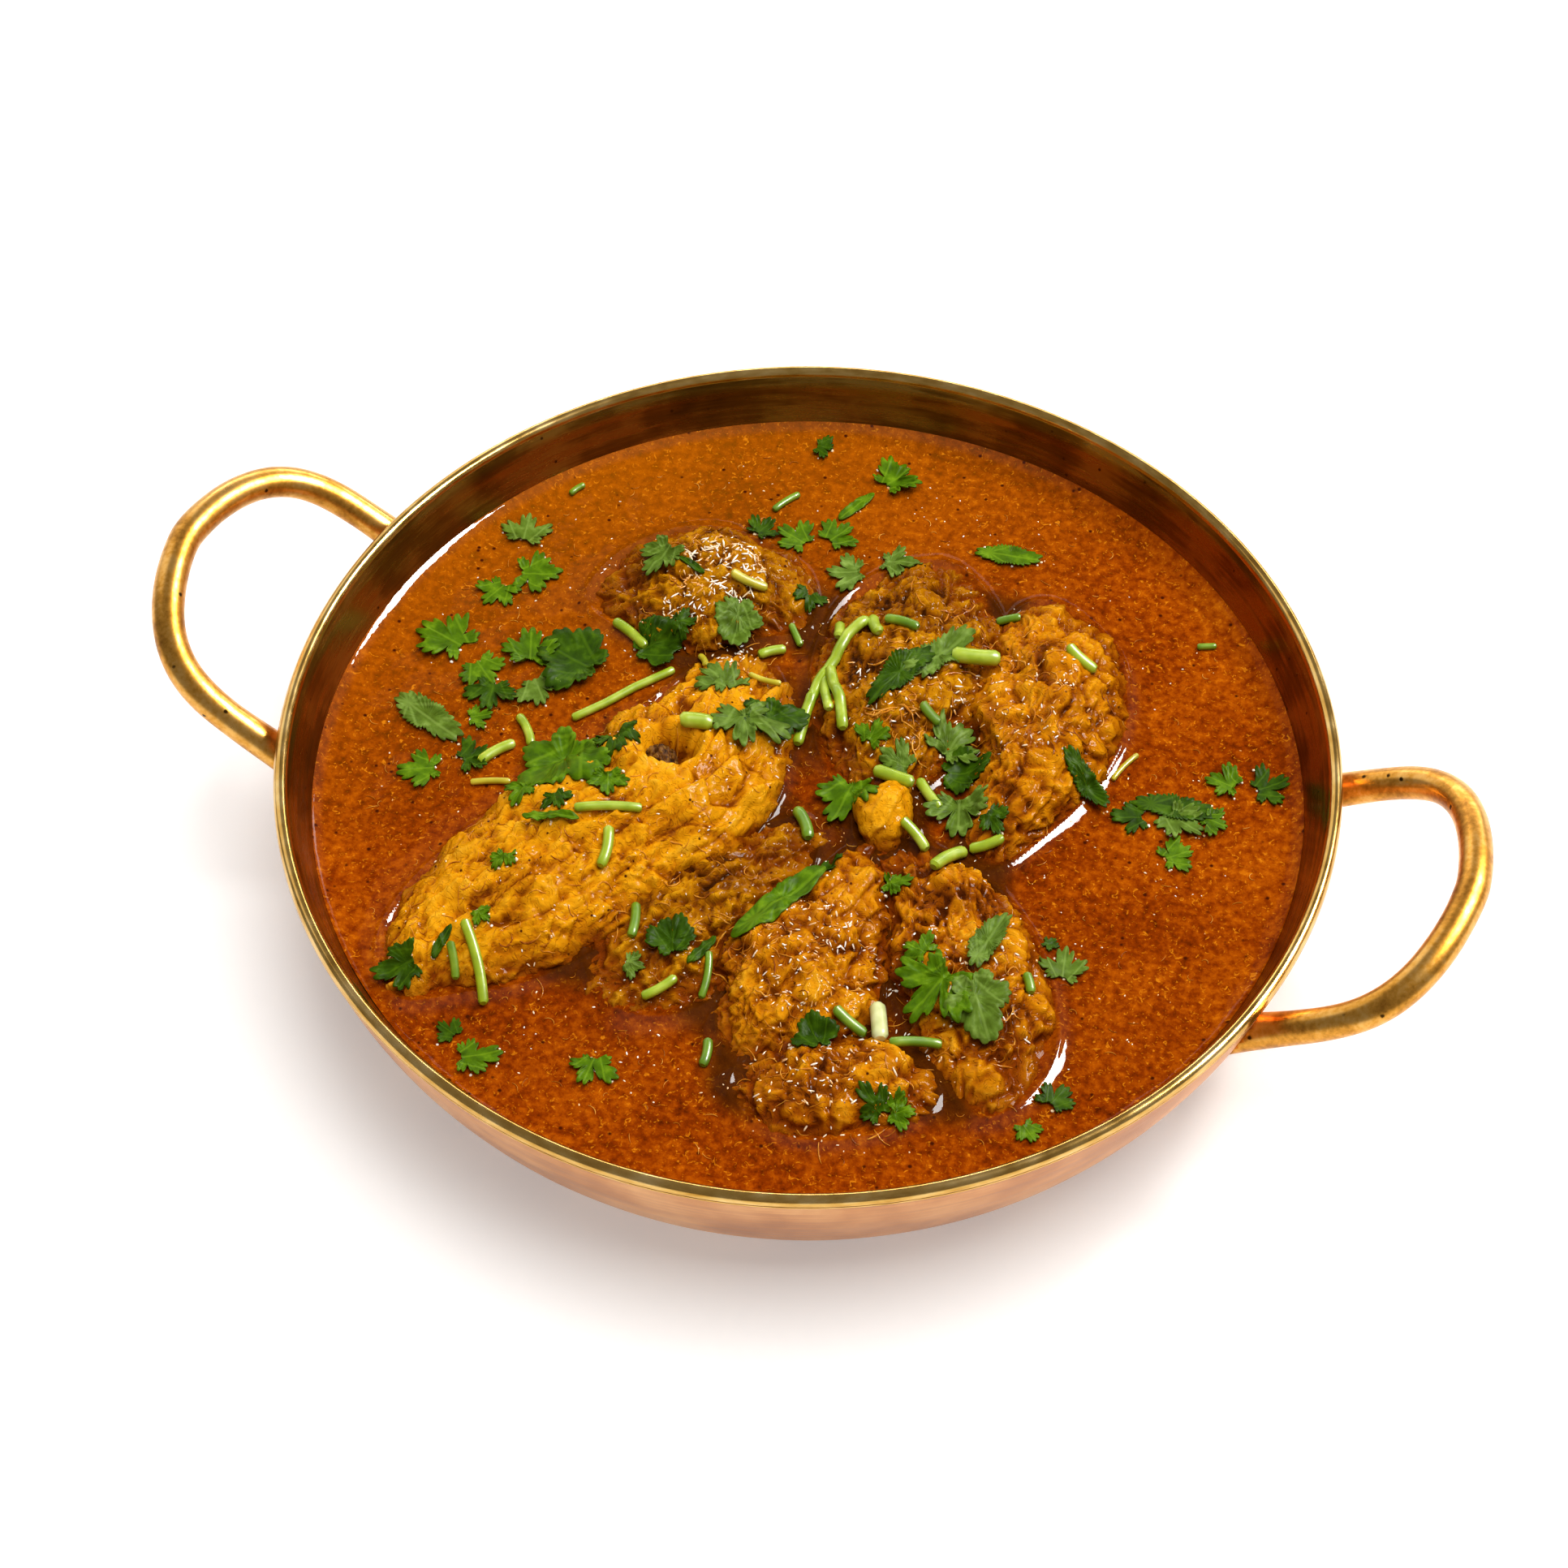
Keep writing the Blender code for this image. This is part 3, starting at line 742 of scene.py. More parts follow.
def drawnLump(piece):  # a sphere drawn out along the piece's line, in world space
    bm = bmesh.new()
    rows = piece["line"]
    length = sum((Vector(a[:3]) - Vector(b[:3])).length for a, b in zip(rows, rows[1:])) * mm
    widest = max(row[3] for row in rows) * mm
    stepSize = flesh["stepSize"] * 1.0
    around = max(flesh["fewestSteps"], int(4.0 * widest / stepSize))
    bmesh.ops.create_uvsphere(bm, u_segments=around, radius=1.0,
                              v_segments=max(flesh["fewestSteps"], int(length / stepSize)))
    lengthwise = bm.verts.layers.float.new("lengthwise")
    sideways = bm.verts.layers.float.new("sideways")
    rings = {}
    for vert in bm.verts:
        x, y, z = vert.co
        key = round(z, 5)
        if key not in rings:
            turn = math.acos(max(-1.0, min(1.0, -z))) / math.pi
            point, halfWidth, halfHeight = alongLine(rows, turn)
            ahead = alongLine(rows, min(turn + 0.02, 1.0))[0]
            behind = alongLine(rows, max(turn - 0.02, 0.0))[0]
            along = (ahead - behind).normalized()
            across = along.cross(up).normalized()
            rings[key] = (turn, point, across * halfWidth, across.cross(along) * halfHeight)
        turn, point, across, over = rings[key]
        outward = math.hypot(x, y)
        fullness = outward ** (1.0 / flesh["endBluntness"])
        angle = math.atan2(y, x)
        angle += flesh["topShare"] * math.cos(angle)
        vert.co = point + (across * math.cos(angle) + over * math.sin(angle)) * fullness
        vert[lengthwise] = turn * length
        vert[sideways] = math.cos(angle) * across.length * fullness
    bm.normal_update()
    bmesh.ops.recalc_face_normals(bm, faces=bm.faces)
    bm.normal_update()
    return bm


def markHeight(spot, marks):  # what the piece's own bumps and hollows add here, in mm
    height = 0.0
    for x, y, halfLength, halfWidth, turn, rise in marks:
        a = math.radians(turn)
        dx = spot.x / mm - x
        dy = spot.y / mm - y
        far = math.hypot((dx * math.cos(a) + dy * math.sin(a)) / halfLength,
                         (dy * math.cos(a) - dx * math.sin(a)) / halfWidth)
        if far < 1.6:
            height += rise * (1.0 - smoothStep(0.35, 1.25, far))
    return height


def lumps(spot):  # rounded lumps parted by sharp creases: 0 in a crease, 1 on a lump
    near = noise.voronoi(spot)[0]
    return smoothStep(0.0, 0.30, near[1] - near[0])


def tornFlaps(spot, lean):  # overlapping flaps: each rises along its lean and ends in a step
    near, centres = noise.voronoi(spot)
    tilt = lean + 0.9 * noise.noise_vector(centres[0] * 5.0)
    whole = smoothStep(0.0, 0.11, near[1] - near[0])
    return (spot - centres[0]).dot(tilt) * whole, whole


def roughen(bm, piece, neighbours):
    reliefShade = bm.verts.layers.float.new("reliefShade")
    lengthwise = bm.verts.layers.float["lengthwise"]
    sideways = bm.verts.layers.float["sideways"]
    offset = Vector((piece["seed"], 0.0, 0.0))
    tones, mean = flesh["tones"], flesh["lumpMean"]
    finerU, finerV, smallShare = flesh["smallFlaps"]
    places = []
    for vert in bm.verts:
        spot = vert.co
        base = noise.noise(spot / flesh["bumpSize"] + offset) * flesh["bumpHeight"]
        if spot.z < flesh["gravyLevel"] - 4.0 * mm:
            places.append((spot + vert.normal * base, flesh["freshTone"]))
            continue
        warped = spot + noise.noise_vector(spot / flesh["warpSize"] + offset) * flesh["warp"]
        u = vert[lengthwise] + 2.0 * mm * noise.noise(spot / flesh["warpSize"] - offset)
        v = vert[sideways] + 2.5 * mm * noise.noise(spot / flesh["driftSize"] + offset)
        rough = smoothStep(-0.45, 0.25, noise.noise(spot / flesh["calmSize"] - offset))
        place = Vector((u / flesh["bundleLength"], v / flesh["bundleWidth"], piece["seed"]))
        bundle = (lumps(place) - mean) * (0.45 + 0.55 * rough)
        knob = lumps(warped / flesh["knobSize"] + offset) - mean
        fine = lumps(warped / (flesh["smallKnobs"] * flesh["knobSize"]) - offset) - mean
        knob += (0.15 + 0.45 * rough) * fine
        place = Vector((u / flesh["flapLength"], v / flesh["flapWidth"], piece["seed"]))
        big, whole = tornFlaps(place, flesh["flapLean"])
        place = Vector((finerU * place.x, finerV * place.y, -piece["seed"]))
        small, smallWhole = tornFlaps(place, flesh["flapLean"])
        flap = big + smallShare * rough * small
        crease = 0.65 * (whole - 1.0) + 0.35 * rough * (smallWhole - 1.0)
        wrinkle = 0.6 - 3.0 * abs(noise.noise(warped / flesh["wrinkleSize"] + offset))
        strand = noise.noise(Vector((u / flesh["strandLength"], v / flesh["strandWidth"], 2.0)))
        marked = markHeight(spot, piece["marks"])
        height = (bundle * piece["bundle"] + knob * piece["knob"] + wrinkle * piece["wrinkle"]
                  + (flap + 0.25 * crease) * piece["flap"] + strand * piece["strand"]
                  + marked) * mm
        # Painted shade: the tone follows the relief, paler on bundles, knobs and flap tops, darker
        # in wrinkles and creases.
        tone = tones["middle"] + tones["bundle"] * bundle * piece["bundle"]
        tone += tones["knob"] * knob * piece["knob"] + tones["wrinkle"] * wrinkle * piece["wrinkle"]
        tone += (tones["flap"] * flap + tones["crease"] * crease) * piece["flap"]
        # Painted shade: a mark sunk deeper than 2 mm, such as the leg's pit, is darkened.
        tone += tones["strand"] * strand * piece["strand"] + 0.075 * min(0.0, marked + 2.0)
        tone += tones["patch"] * noise.noise(spot / flesh["patchSize"] - offset)
        hits = [surface.find_nearest(spot, flesh["crowdReach"])[3] for surface in neighbours]
        nearest = min((hit for hit in hits if hit is not None), default=None)
        if nearest is not None:  # painted shade: the meat is darkened where two pieces meet
            tone -= flesh["crowdShade"] * (1.0 - nearest / flesh["crowdReach"]) ** 1.5
        places.append((spot + vert.normal * (base + height), tone))
    for vert, (place, tone) in zip(bm.verts, places):
        vert.co = place
        vert[reliefShade] = tone
    for name in ("lengthwise", "sideways"):
        bm.verts.layers.float.remove(bm.verts.layers.float[name])
    bm.normal_update()


def makeChicken():
    finishes = {tone: curriedMeat(tone) for tone in flesh["palettes"]}
    drawn = {name: drawnLump(piece) for name, piece in chicken.items()}
    smooth = {name: BVHTree.FromBMesh(bm) for name, bm in drawn.items()}
    surfaces = []
    for name, bm in drawn.items():
        piece = chicken[name]
        roughen(bm, piece, [smooth[other] for other in drawn if other != name])
        surfaces.append(BVHTree.FromBMesh(bm))
        addPiece(name + "_meat", bm, [finishes[piece["tone"]]], [name])
        print(name, "made")
    return surfaces, list(smooth.values())


# The roasted bone end in the leg's curl: dark brown, open and grainy.
def charredBone():
    finish, tree, shader, spot = newFinish("bone end, roasted dark")
    stops = [(0.35, "#2A1402"), (0.52, "#623808"), (0.70, "#9A6E24")]
    cells, tone = mottled(tree, spot, 1.6, 4.0, stops)
    bump = addNode(tree, "Bump", {"Strength": 0.8, "Distance": 0.5 * mm}, {"Height": cells})
    setNode(shader, {"Roughness": 0.6, "Specular IOR Level": 0.1},
        {"Base Color": tone, "Normal": bump})
    return finish


boneEnd = {"line": [(-40, -12, 37, 3, 4), (-36, -10, 39, 4, 4), (-31, -8, 38, 4, 4)],
           "pitSize": 0.0016, "pitDepth": 0.0014}


def makeBoneEnd():
    bm = bmesh.new()
    bmesh.ops.create_uvsphere(bm, u_segments=48, v_segments=40, radius=1.0)
    for vert in bm.verts:
        x, y, z = vert.co
        point, halfWidth, halfHeight = alongLine(boneEnd["line"], 0.5 * (1.0 - z))
        vert.co = point + Vector((-0.4 * x, x, 0.0)) * halfWidth + up * y * halfHeight
        pit = lumps(vert.co / boneEnd["pitSize"]) - 0.5
        vert.co += up * pit * boneEnd["pitDepth"]
    bmesh.ops.recalc_face_normals(bm, faces=bm.faces)
    bm.normal_update()
    addPiece("bone_end_roasted", bm, [charredBone()], ["bone_end"])


meatSurfaces, smoothMeat = makeChicken()
makeBoneEnd()
print("bone end made")


gravy = {
    "level": 0.0335,
    "turnSteps": 330,
    "ringSteps": 72,
    "edgeRings": 14,  # finer rings where the gravy climbs the wall
    "edgeBand": 0.005,
    "wallClimb": 0.0024,
    "wallReach": 0.0027,
    "meatClimb": 0.0019,
    "meatReach": 0.0022,
    "fineBand": 0.0032,  # finer mesh this close to the meat
    "swellHeight": 0.00035,
    "swellSize": 0.010,
    "gapWidth": 0.0125,  # gravy in gaps narrower than this lies in the pieces' shade
    "meatShade": 0.004,
    "glossSide": Vector((0.8, -0.6)),  # a raised edge is wet and bare of oil on this side
}


# Onion and tomato gravy with spice oil on top: grainy orange brown, with pale shreds, dark
# spice specks and a wet, broken shine.
def gravyFinish():
    finish, tree, shader, spot = newFinish("curry gravy, wet")
    cloud = addNode(tree, "TexNoise", {"Scale": perMetre(24.0), "Detail": 4.0}, {"Vector": spot})
    grain = addNode(tree, "TexNoise", {"Scale": perMetre(2.4), "Detail": 5.0, "Roughness": 0.65},
        {"Vector": spot})
    clouded = addNode(tree, "Math", {"operation": "MULTIPLY_ADD", 1: 0.45, 2: -0.01}, {0: cloud})
    mixed = addNode(tree, "Math", {"operation": "MULTIPLY_ADD", 1: 1.05}, {0: grain, 2: clouded})
    base = addNode(tree, "ValToRGB",
        {"stops": [(0.46, "#481500"), (0.68, "#7C2D00"), (0.88, "#A04802"), (1.0, "#BA6006")]},
        {"Fac": mixed})
    place = addNode(tree, "SeparateXYZ", links={0: spot})
    # Painted sheen: the gravy is painted paler and yellower toward the back left, where it catches
    # the light.
    leftward = addNode(tree, "Math", {"operation": "MULTIPLY", 1: -0.62}, {0: place.outputs["X"]})
    towardBackLeft = addNode(tree, "Math", {"operation": "MULTIPLY_ADD", 1: 0.62},
        {0: place.outputs["Y"], 2: leftward})
    paintedSheenShare = addNode(tree, "MapRange", {"From Min": 0.02, "From Max": 0.12, "To Max": 0.42},
        {"Value": towardBackLeft})
    sheenPainted = addNode(tree, "Mix", {"data_type": "RGBA", 7: "#A86402"}, {0: paintedSheenShare, 6: base})
    shreds = addNode(tree, "TexNoise", {"Scale": perMetre(1.5), "Detail": 2.0, "Distortion": 1.6},
        {"Vector": spot})
    shredMask = addNode(tree, "MapRange", {"From Min": 0.61, "From Max": 0.72, "To Max": 0.8},
        {"Value": shreds})
    shredded = addNode(tree, "Mix", {"data_type": "RGBA", 7: "#D27C10"},
        {0: shredMask, 6: sheenPainted.outputs[2]})
    spiced = withSpecks(tree, spot, 5.0, 0.06, 0.13, "#3E1202", shredded.outputs[2])
    # Painted shade: gravy in narrow gaps between pieces and close to the meat turns deep brown.
    gap = addNode(tree, "Attribute", {"attribute_name": "gap"})
    shaded = addNode(tree, "Mix", {"data_type": "RGBA", 7: "#381A02"},
        {0: gap.outputs["Fac"], 6: spiced})
    bumpHeight = addNode(tree, "Math", {"operation": "MULTIPLY_ADD", 1: 0.6},
        {0: shreds, 2: grain})
    bump = addNode(tree, "Bump", {"Strength": 0.7, "Distance": 0.4 * mm}, {"Height": bumpHeight})
    ripple = addNode(tree, "TexNoise", {"Scale": perMetre(3.5), "Detail": 1.0}, {"Vector": spot})
    wetBump = addNode(tree, "Bump", {"Strength": 0.25, "Distance": 0.3 * mm}, {"Height": ripple})
    rim = addNode(tree, "Attribute", {"attribute_name": "rim"})
    oily = addNode(tree, "MapRange", {"To Min": 0.05, "To Max": 0.65},
        {"Value": rim.outputs["Fac"]})
    setNode(shader, {"Roughness": 0.5, "Specular IOR Level": 0.0, "Coat Roughness": 0.035},
            {"Base Color": shaded.outputs[2], "Normal": bump, "Coat Weight": oily,
            "Coat Normal": wetBump})
    return finish


def makeGravy(surfaces):
    level = gravy["level"]
    edge = liningRadiusAt(level + gravy["wallClimb"]) - 0.05 * mm
    wall = shiftedWall(liningWall(pan["beadHeight"], pan["wallSteps"]), -0.05 * mm)
    wall = [spot for spot in wall if spot[1] + pan["height"] < level - 0.5 * mm]
    reaches = [gravy["edgeBand"] * (step / gravy["edgeRings"]) ** 1.5
               for step in range(gravy["edgeRings"])]
    reaches += [gravy["edgeBand"] + (edge - gravy["edgeBand"]) * step / gravy["ringSteps"]
                for step in range(gravy["ringSteps"])]
    top = [(edge - reach, level - pan["height"]) for reach in reaches]
    profile = [(0.0, wall[-1][1])] + wall[::-1] + top + [(0.0, level - pan["height"])]
    bm = turned(profile, gravy["turnSteps"])

    def meatNear(spot):  # the two nearest pieces: how far, and where
        hits = [surface.find_nearest(spot, 0.03) for surface in surfaces]
        near = sorted(((hit[3], hit[0]) for hit in hits if hit[0]), key=lambda pair: pair[0])
        return (near + [(1.0, spot + up)] * 2)[:2]

    onTop = [vert for vert in bm.verts if vert.co.z > level - 0.1 * mm]
    close = {vert for vert in onTop if meatNear(vert.co)[0][0] < gravy["fineBand"]}
    fine = [item for item in bm.edges if all(vert in close for vert in item.verts)]
    bmesh.ops.subdivide_edges(bm, edges=fine, cuts=2, use_grid_fill=True)
    gapLayer = bm.verts.layers.float.new("gap")
    rimLayer = bm.verts.layers.float.new("rim")
    for vert in bm.verts:
        if vert.co.z < level - 0.1 * mm:
            continue
        spot = vert.co.copy()
        radius = spot.xy.length
        near = meatNear(spot)
        nearest, meatSpot = near[0]
        calm = smoothStep(0.5 * mm, 5.0 * mm, min(nearest, edge - radius))
        lift = gravy["swellHeight"] * noise.noise(spot / gravy["swellSize"]) * calm
        lift += gravy["wallClimb"] * math.exp((radius - edge) / gravy["wallReach"])
        lift += gravy["meatClimb"] * math.exp(-nearest / gravy["meatReach"])
        vert.co.z = level + lift
        # Painted shade: darker where two pieces close in, and in a thin ring round the meat.
        gap = 0.7 * (1.0 - smoothStep(0.35, 1.0, (nearest + near[1][0]) / gravy["gapWidth"]))
        vert[gapLayer] = gap + 0.2 * math.exp(-nearest / gravy["meatShade"])
        away = (spot - meatSpot).xy if nearest < edge - radius else -spot.xy
        facing = away.normalized().dot(gravy["glossSide"]) if away.length else 0.0
        onRim = 1.0 - smoothStep(1.2 * mm, 3.2 * mm, min(nearest, edge - radius))
        vert[rimLayer] = onRim * (1.0 - gap) * smoothStep(0.2, 0.6, facing)
    bm.normal_update()
    surface = BVHTree.FromBMesh(bm)
    addPiece("gravy_pool", bm, [gravyFinish()], ["gravy"], 60.0)
    return surface


gravySurface = makeGravy(smoothMeat)
print("gravy made")


# A leaf is x, y in mm, its size in mm, the way it points in degrees, its shape, its colour
# and how far in mm its edges curl up.
herbs = {
    "thickness": 0.00040,
    "spread": 0.91,
    "clearance": 0.0009,  # a leaf's top lies at least this far above the food
    "drape": 0.55,  # how closely it follows what is under it
    "waviness": (0.45, 1.1, 0.5),  # its edge's curl: steady, by chance, and to its sides
    "spokes": 120,
    "rings": 5,
    "leafColours": {
        "fresh": ["#365202", "#4C6E03", "#749616"],
        "deep": ["#203602", "#304C02", "#4C6C0A"],
        "dull": ["#42560E", "#5A7422", "#829C46"],
    },
    "stalkColours": {
        "pale": ["#6E8A08", "#98B018", "#C0D04C"],
        "green": ["#466A06", "#648A0C", "#8EAA2A"],
        "yellow": ["#968C0C", "#BCAE1C", "#DCCE48"],
        "white": ["#A8AE5C", "#D2D694", "#EEEFC4"],
    },
    "shapes": {
        "fan": {"lobes": [(0, 1.0, 34), (62, 0.92, 33), (-62, 0.92, 33), (118, 0.62, 30),
                          (-118, 0.62, 30)], "waist": 0.2, "teeth": 21, "bite": 0.3},
        "broad": {"lobes": [(0, 1.0, 55), (75, 0.85, 46), (-75, 0.85, 46), (140, 0.6, 40),
                            (-140, 0.6, 40)], "waist": 0.35, "teeth": 25, "bite": 0.14},
        "long": {"narrow": 0.36, "teeth": 28, "bite": 0.26},
        "blade": {"narrow": 0.24, "teeth": 9, "bite": 0.05},
    },
    "leaves": [
        (-97, 53, 9, 100, "fan", "dull", 0.8), (-91, 41, 9, 15, "fan", "fresh", 1.0),
        (-96, 34, 8, -110, "fan", "fresh", 0.8), (-100, 13, 12, 165, "fan", "fresh", 1.2),
        (-91, 8, 9, -40, "fan", "fresh", 0.8), (-80, 15, 10, 110, "fan", "fresh", 1.2),
        (-85, 2, 9, -80, "fan", "deep", 1.0), (-75, 7, 9, -50, "fan", "dull", 1.0),
        (-67, 17, 14, 165, "broad", "deep", 1.6), (-52, 27, 9, 40, "broad", "deep", 1.5),
        (-97, -12, 13, -22, "long", "dull", 1.2), (-86, -8, 5, 30, "fan", "fresh", 0.6),
        (-82, -21, 8, 45, "fan", "deep", 1.0), (-90, -27, 8, 205, "fan", "fresh", 0.8),
        (-62, -31, 6, -100, "fan", "fresh", 0.8), (-53, -34, 6, -60, "fan", "deep", 0.8),
        (-43, -24, 7, -70, "fan", "fresh", 0.8), (-47, -9, 9, -70, "fan", "deep", 1.2),
        (-58, -16, 17, -100, "broad", "fresh", 2.2), (-51, -41, 8, 12, "blade", "fresh", 1.4),
        (-58, -54, 5, -100, "fan", "fresh", 0.4), (-58, -70, 4, -20, "fan", "fresh", 0.3),
        (-70, -86, 9, -140, "fan", "deep", 1.0), (-64, -79, 5, 80, "blade", "deep", 0.4),
        (-28, 18, 10, 150, "fan", "dull", 1.0), (-14, 12, 12, -45, "broad", "deep", 1.6),
        (-19, 7, 13, -65, "fan", "dull", 1.4), (-46, 33, 5, 20, "fan", "deep", 0.6),
        (-33, 41, 9, -80, "broad", "dull", 1.0), (-57, 53, 9, -110, "fan", "dull", 1.2),
        (-49, 50, 5, -20, "blade", "deep", 0.6), (-39, 74, 6, 70, "fan", "deep", 0.8),
        (-28, 75, 8, 160, "fan", "fresh", 0.8), (-20, 79, 8, 60, "fan", "fresh", 0.8),
        (-19, 56, 6, -70, "fan", "deep", 0.6), (-11, 69, 8, -160, "fan", "dull", 0.8),
        (-3, 75, 8, 10, "fan", "dull", 1.0), (-12, 103, 9, 60, "fan", "fresh", 1.4),
        (-18, 92, 7, -115, "blade", "fresh", 0.6), (-34, 109, 5, 10, "fan", "deep", 0.6),
        (25, 88, 10, 8, "long", "fresh", 0.8), (13, 33, 13, -112, "long", "deep", 1.2),
        (20, 43, 14, 62, "long", "dull", 1.6), (12, 13, 6, 80, "fan", "fresh", 0.6),
        (11, 0, 11, -95, "fan", "fresh", 1.4), (22, 9, 7, 175, "fan", "dull", 0.8),
        (30, 19, 10, 65, "fan", "dull", 1.2), (38, 4, 11, -75, "fan", "dull", 1.4),
        (35, 14, 9, 20, "broad", "deep", 1.2), (47, 0, 6, -40, "fan", "deep", 0.6),
        (8, -42, 17, 62, "blade", "fresh", 1.6), (13, -26, 5, 40, "fan", "deep", 0.6),
        (30, -26, 5, 10, "fan", "fresh", 0.5), (44, -45, 6, 160, "fan", "fresh", 0.6),
        (51, -51, 13, -115, "fan", "fresh", 1.4), (58, -38, 11, 80, "long", "dull", 1.6),
        (60, -54, 11, -55, "broad", "dull", 1.4), (28, -75, 7, 130, "broad", "deep", 0.8),
        (-13, -60, 8, 110, "broad", "deep", 1.2), (-21, -68, 5, 0, "fan", "dull", 0.5),
        (-6, -60, 6, 70, "blade", "deep", 0.5), (66, 19, 9, -28, "long", "deep", 1.0),
        (76, -35, 8, 100, "fan", "dull", 0.8), (80, 16, 7, 200, "fan", "deep", 0.6),
        (88, 22, 12, 10, "long", "deep", 1.0), (89, 19, 9, -20, "fan", "dull", 1.0),
        (97, 21, 6, -10, "fan", "fresh", 0.6), (91, 7, 7, 40, "fan", "fresh", 0.6),
        (99, 33, 7, 170, "fan", "fresh", 0.8), (107, 35, 8, 40, "fan", "deep", 1.0),
        (51, -86, 6, 20, "fan", "fresh", 0.6), (47, -87, 6, 150, "fan", "deep", 0.6),
        (84, -70, 6, 70, "fan", "deep", 0.6), (80, -79, 5, -40, "fan", "fresh", 0.5),
        (-48, -103, 8, 30, "fan", "fresh", 0.8), (-20, -95, 8, -90, "fan", "fresh", 0.8),
        (-54, -98, 5, 160, "fan", "deep", 0.5), (70, -28, 3, 0, "fan", "deep", 0.3),
    ],
    # A stalk is x, y, its length and half thickness in mm, its direction and its colour.
    "stalks": [
        (-58, 29, 10, 1.6, -25, "pale"), (-29, 0, 6, 2.4, 20, "pale"),
        (29, 46, 10, 2.4, 18, "pale"), (55, 51, 7, 1.7, -15, "pale"),
        (21, 4, 9, 2.0, -12, "pale"), (30, 5, 8, 1.6, -38, "pale"),
        (31, -10, 7, 1.6, -25, "pale"), (41, -14, 10, 1.9, 65, "pale"),
        (48, -6, 7, 1.6, 32, "pale"), (4, -15, 9, 1.8, -55, "green"),
        (-39, -34, 15, 1.4, 26, "pale"), (-36, -44, 9, 1.6, -80, "pale"),
        (-55, -81, 17, 1.5, -55, "pale"), (-12, -72, 8, 1.4, 50, "pale"),
        (40, -65, 9, 2.3, -68, "white"), (50, -68, 11, 1.4, 22, "green"),
        (34, -68, 7, 1.6, -10, "green"), (8, 50, 8, 1.5, -8, "green"),
        (2, 47, 6, 1.8, -60, "pale"), (-7, 45, 5, 1.6, -75, "pale"),
        (32, 65, 5, 1.3, 20, "green"), (24, 24, 4, 1.6, -10, "green"),
        (73, 30, 10, 0.8, 70, "yellow"), (-37, 26, 5, 1.0, -55, "yellow"),
        (-18, 43, 6, 1.1, -50, "green"), (-22, 36, 6, 1.5, 40, "pale"),
        (-20, 25, 8, 0.9, -5, "yellow"), (-24, -57, 9, 1.4, -75, "green"),
        (-3, -65, 10, 1.1, -80, "green"), (4, -84, 6, 1.4, -80, "green"),
        (-33, 50, 8, 1.5, 8, "yellow"), (-72, -8, 9, 1.4, -50, "pale"),
        (-76, -17, 9, 1.6, 55, "pale"), (-74, -26, 9, 1.0, 20, "yellow"),
        (-60, -82, 6, 1.2, -60, "green"), (-90, 73, 4, 1.0, 60, "green"),
        (-36, 87, 8, 1.1, 60, "green"), (82, 75, 4, 1.0, 20, "green"),
        (70, -44, 4, 1.4, -60, "green"),
    ],
    # A spray is a bent stalk with side shoots: its points in mm, half thickness and colour.
    "sprays": [
        ([(-1, 48), (-4, 43), (-5, 36), (-7, 28), (-7, 19), (-6, 10)], 1.7, "pale"),
        ([(-6, 31), (-4, 25), (-1, 19)], 1.5, "pale"),
        ([(-5, 32), (-3, 28), (1, 22), (4, 15)], 1.7, "pale"),
        ([(-62, 0), (-56, 7), (-51, 14), (-44, 22)], 1.3, "pale"),
    ],
    # Beads, which are painted glints, gather in patches: x, y, half width in mm, how many, their
    # half thickness in mm and how many times longer than thick the longest one is.
    "beads": [
        (-41, 53, 11, 190, 0.26, 6.0), (-46, 40, 7, 60, 0.24, 5.0), (-30, 31, 6, 30, 0.26, 4.0),
        (20, -55, 16, 150, 0.22, 4.5), (44, 34, 18, 120, 0.22, 4.0), (32, -82, 18, 110, 0.24, 4.5),
        (14, 30, 18, 90, 0.22, 5.0), (56, -50, 20, 80, 0.22, 4.0), (0, -40, 60, 160, 0.20, 3.0),
        (0, 0, 110, 420, 0.20, 2.0),
    ],
    "beadsAlongLeaf": 5,
    "leafBead": (0.38, 1.3),
    "beadLimit": 0.117,  # nothing floats further out than this
}


# A coriander leaf: waxy and soft, mid green with paler veins that spread from its foot.
def leafSkin(tone):
    dark, middle, light = herbs["leafColours"][tone]
    finish, tree, shader, spot = newFinish("coriander leaf, " + tone)
    place = addNode(tree, "Attribute", {"attribute_name": "leafPlace"})
    skin = mottled(tree, spot, 3.0, 4.0, [(0.3, dark), (0.55, middle), (0.8, light)])[1]
    parts = addNode(tree, "SeparateXYZ", links={0: place.outputs["Vector"]})
    angle = addNode(tree, "Math", {"operation": "ARCTAN2"},
        {0: parts.outputs["Y"], 1: parts.outputs["X"]})
    offVein = addNode(tree, "Math", {"operation": "PINGPONG", 1: 0.27}, {0: angle})
    reach = addNode(tree, "VectorMath", {"operation": "LENGTH"}, {0: place.outputs["Vector"]})
    sideways = addNode(tree, "Math", {"operation": "MULTIPLY"},
        {0: offVein, 1: reach.outputs["Value"]})
    vein = addNode(tree, "MapRange",
        {"From Min": 0.012, "From Max": 0.045, "To Min": 0.42, "To Max": 0.0},
        {"Value": sideways})
    veined = addNode(tree, "Mix", {"data_type": "RGBA", 7: light}, {0: vein, 6: skin})
    bump = addNode(tree, "Bump", {"Strength": 0.4, "Distance": 0.2 * mm}, {"Height": vein})
    setNode(shader, {"Roughness": 0.45, "Specular IOR Level": 0.06},
        {"Base Color": veined.outputs[2], "Normal": bump})
    return finish


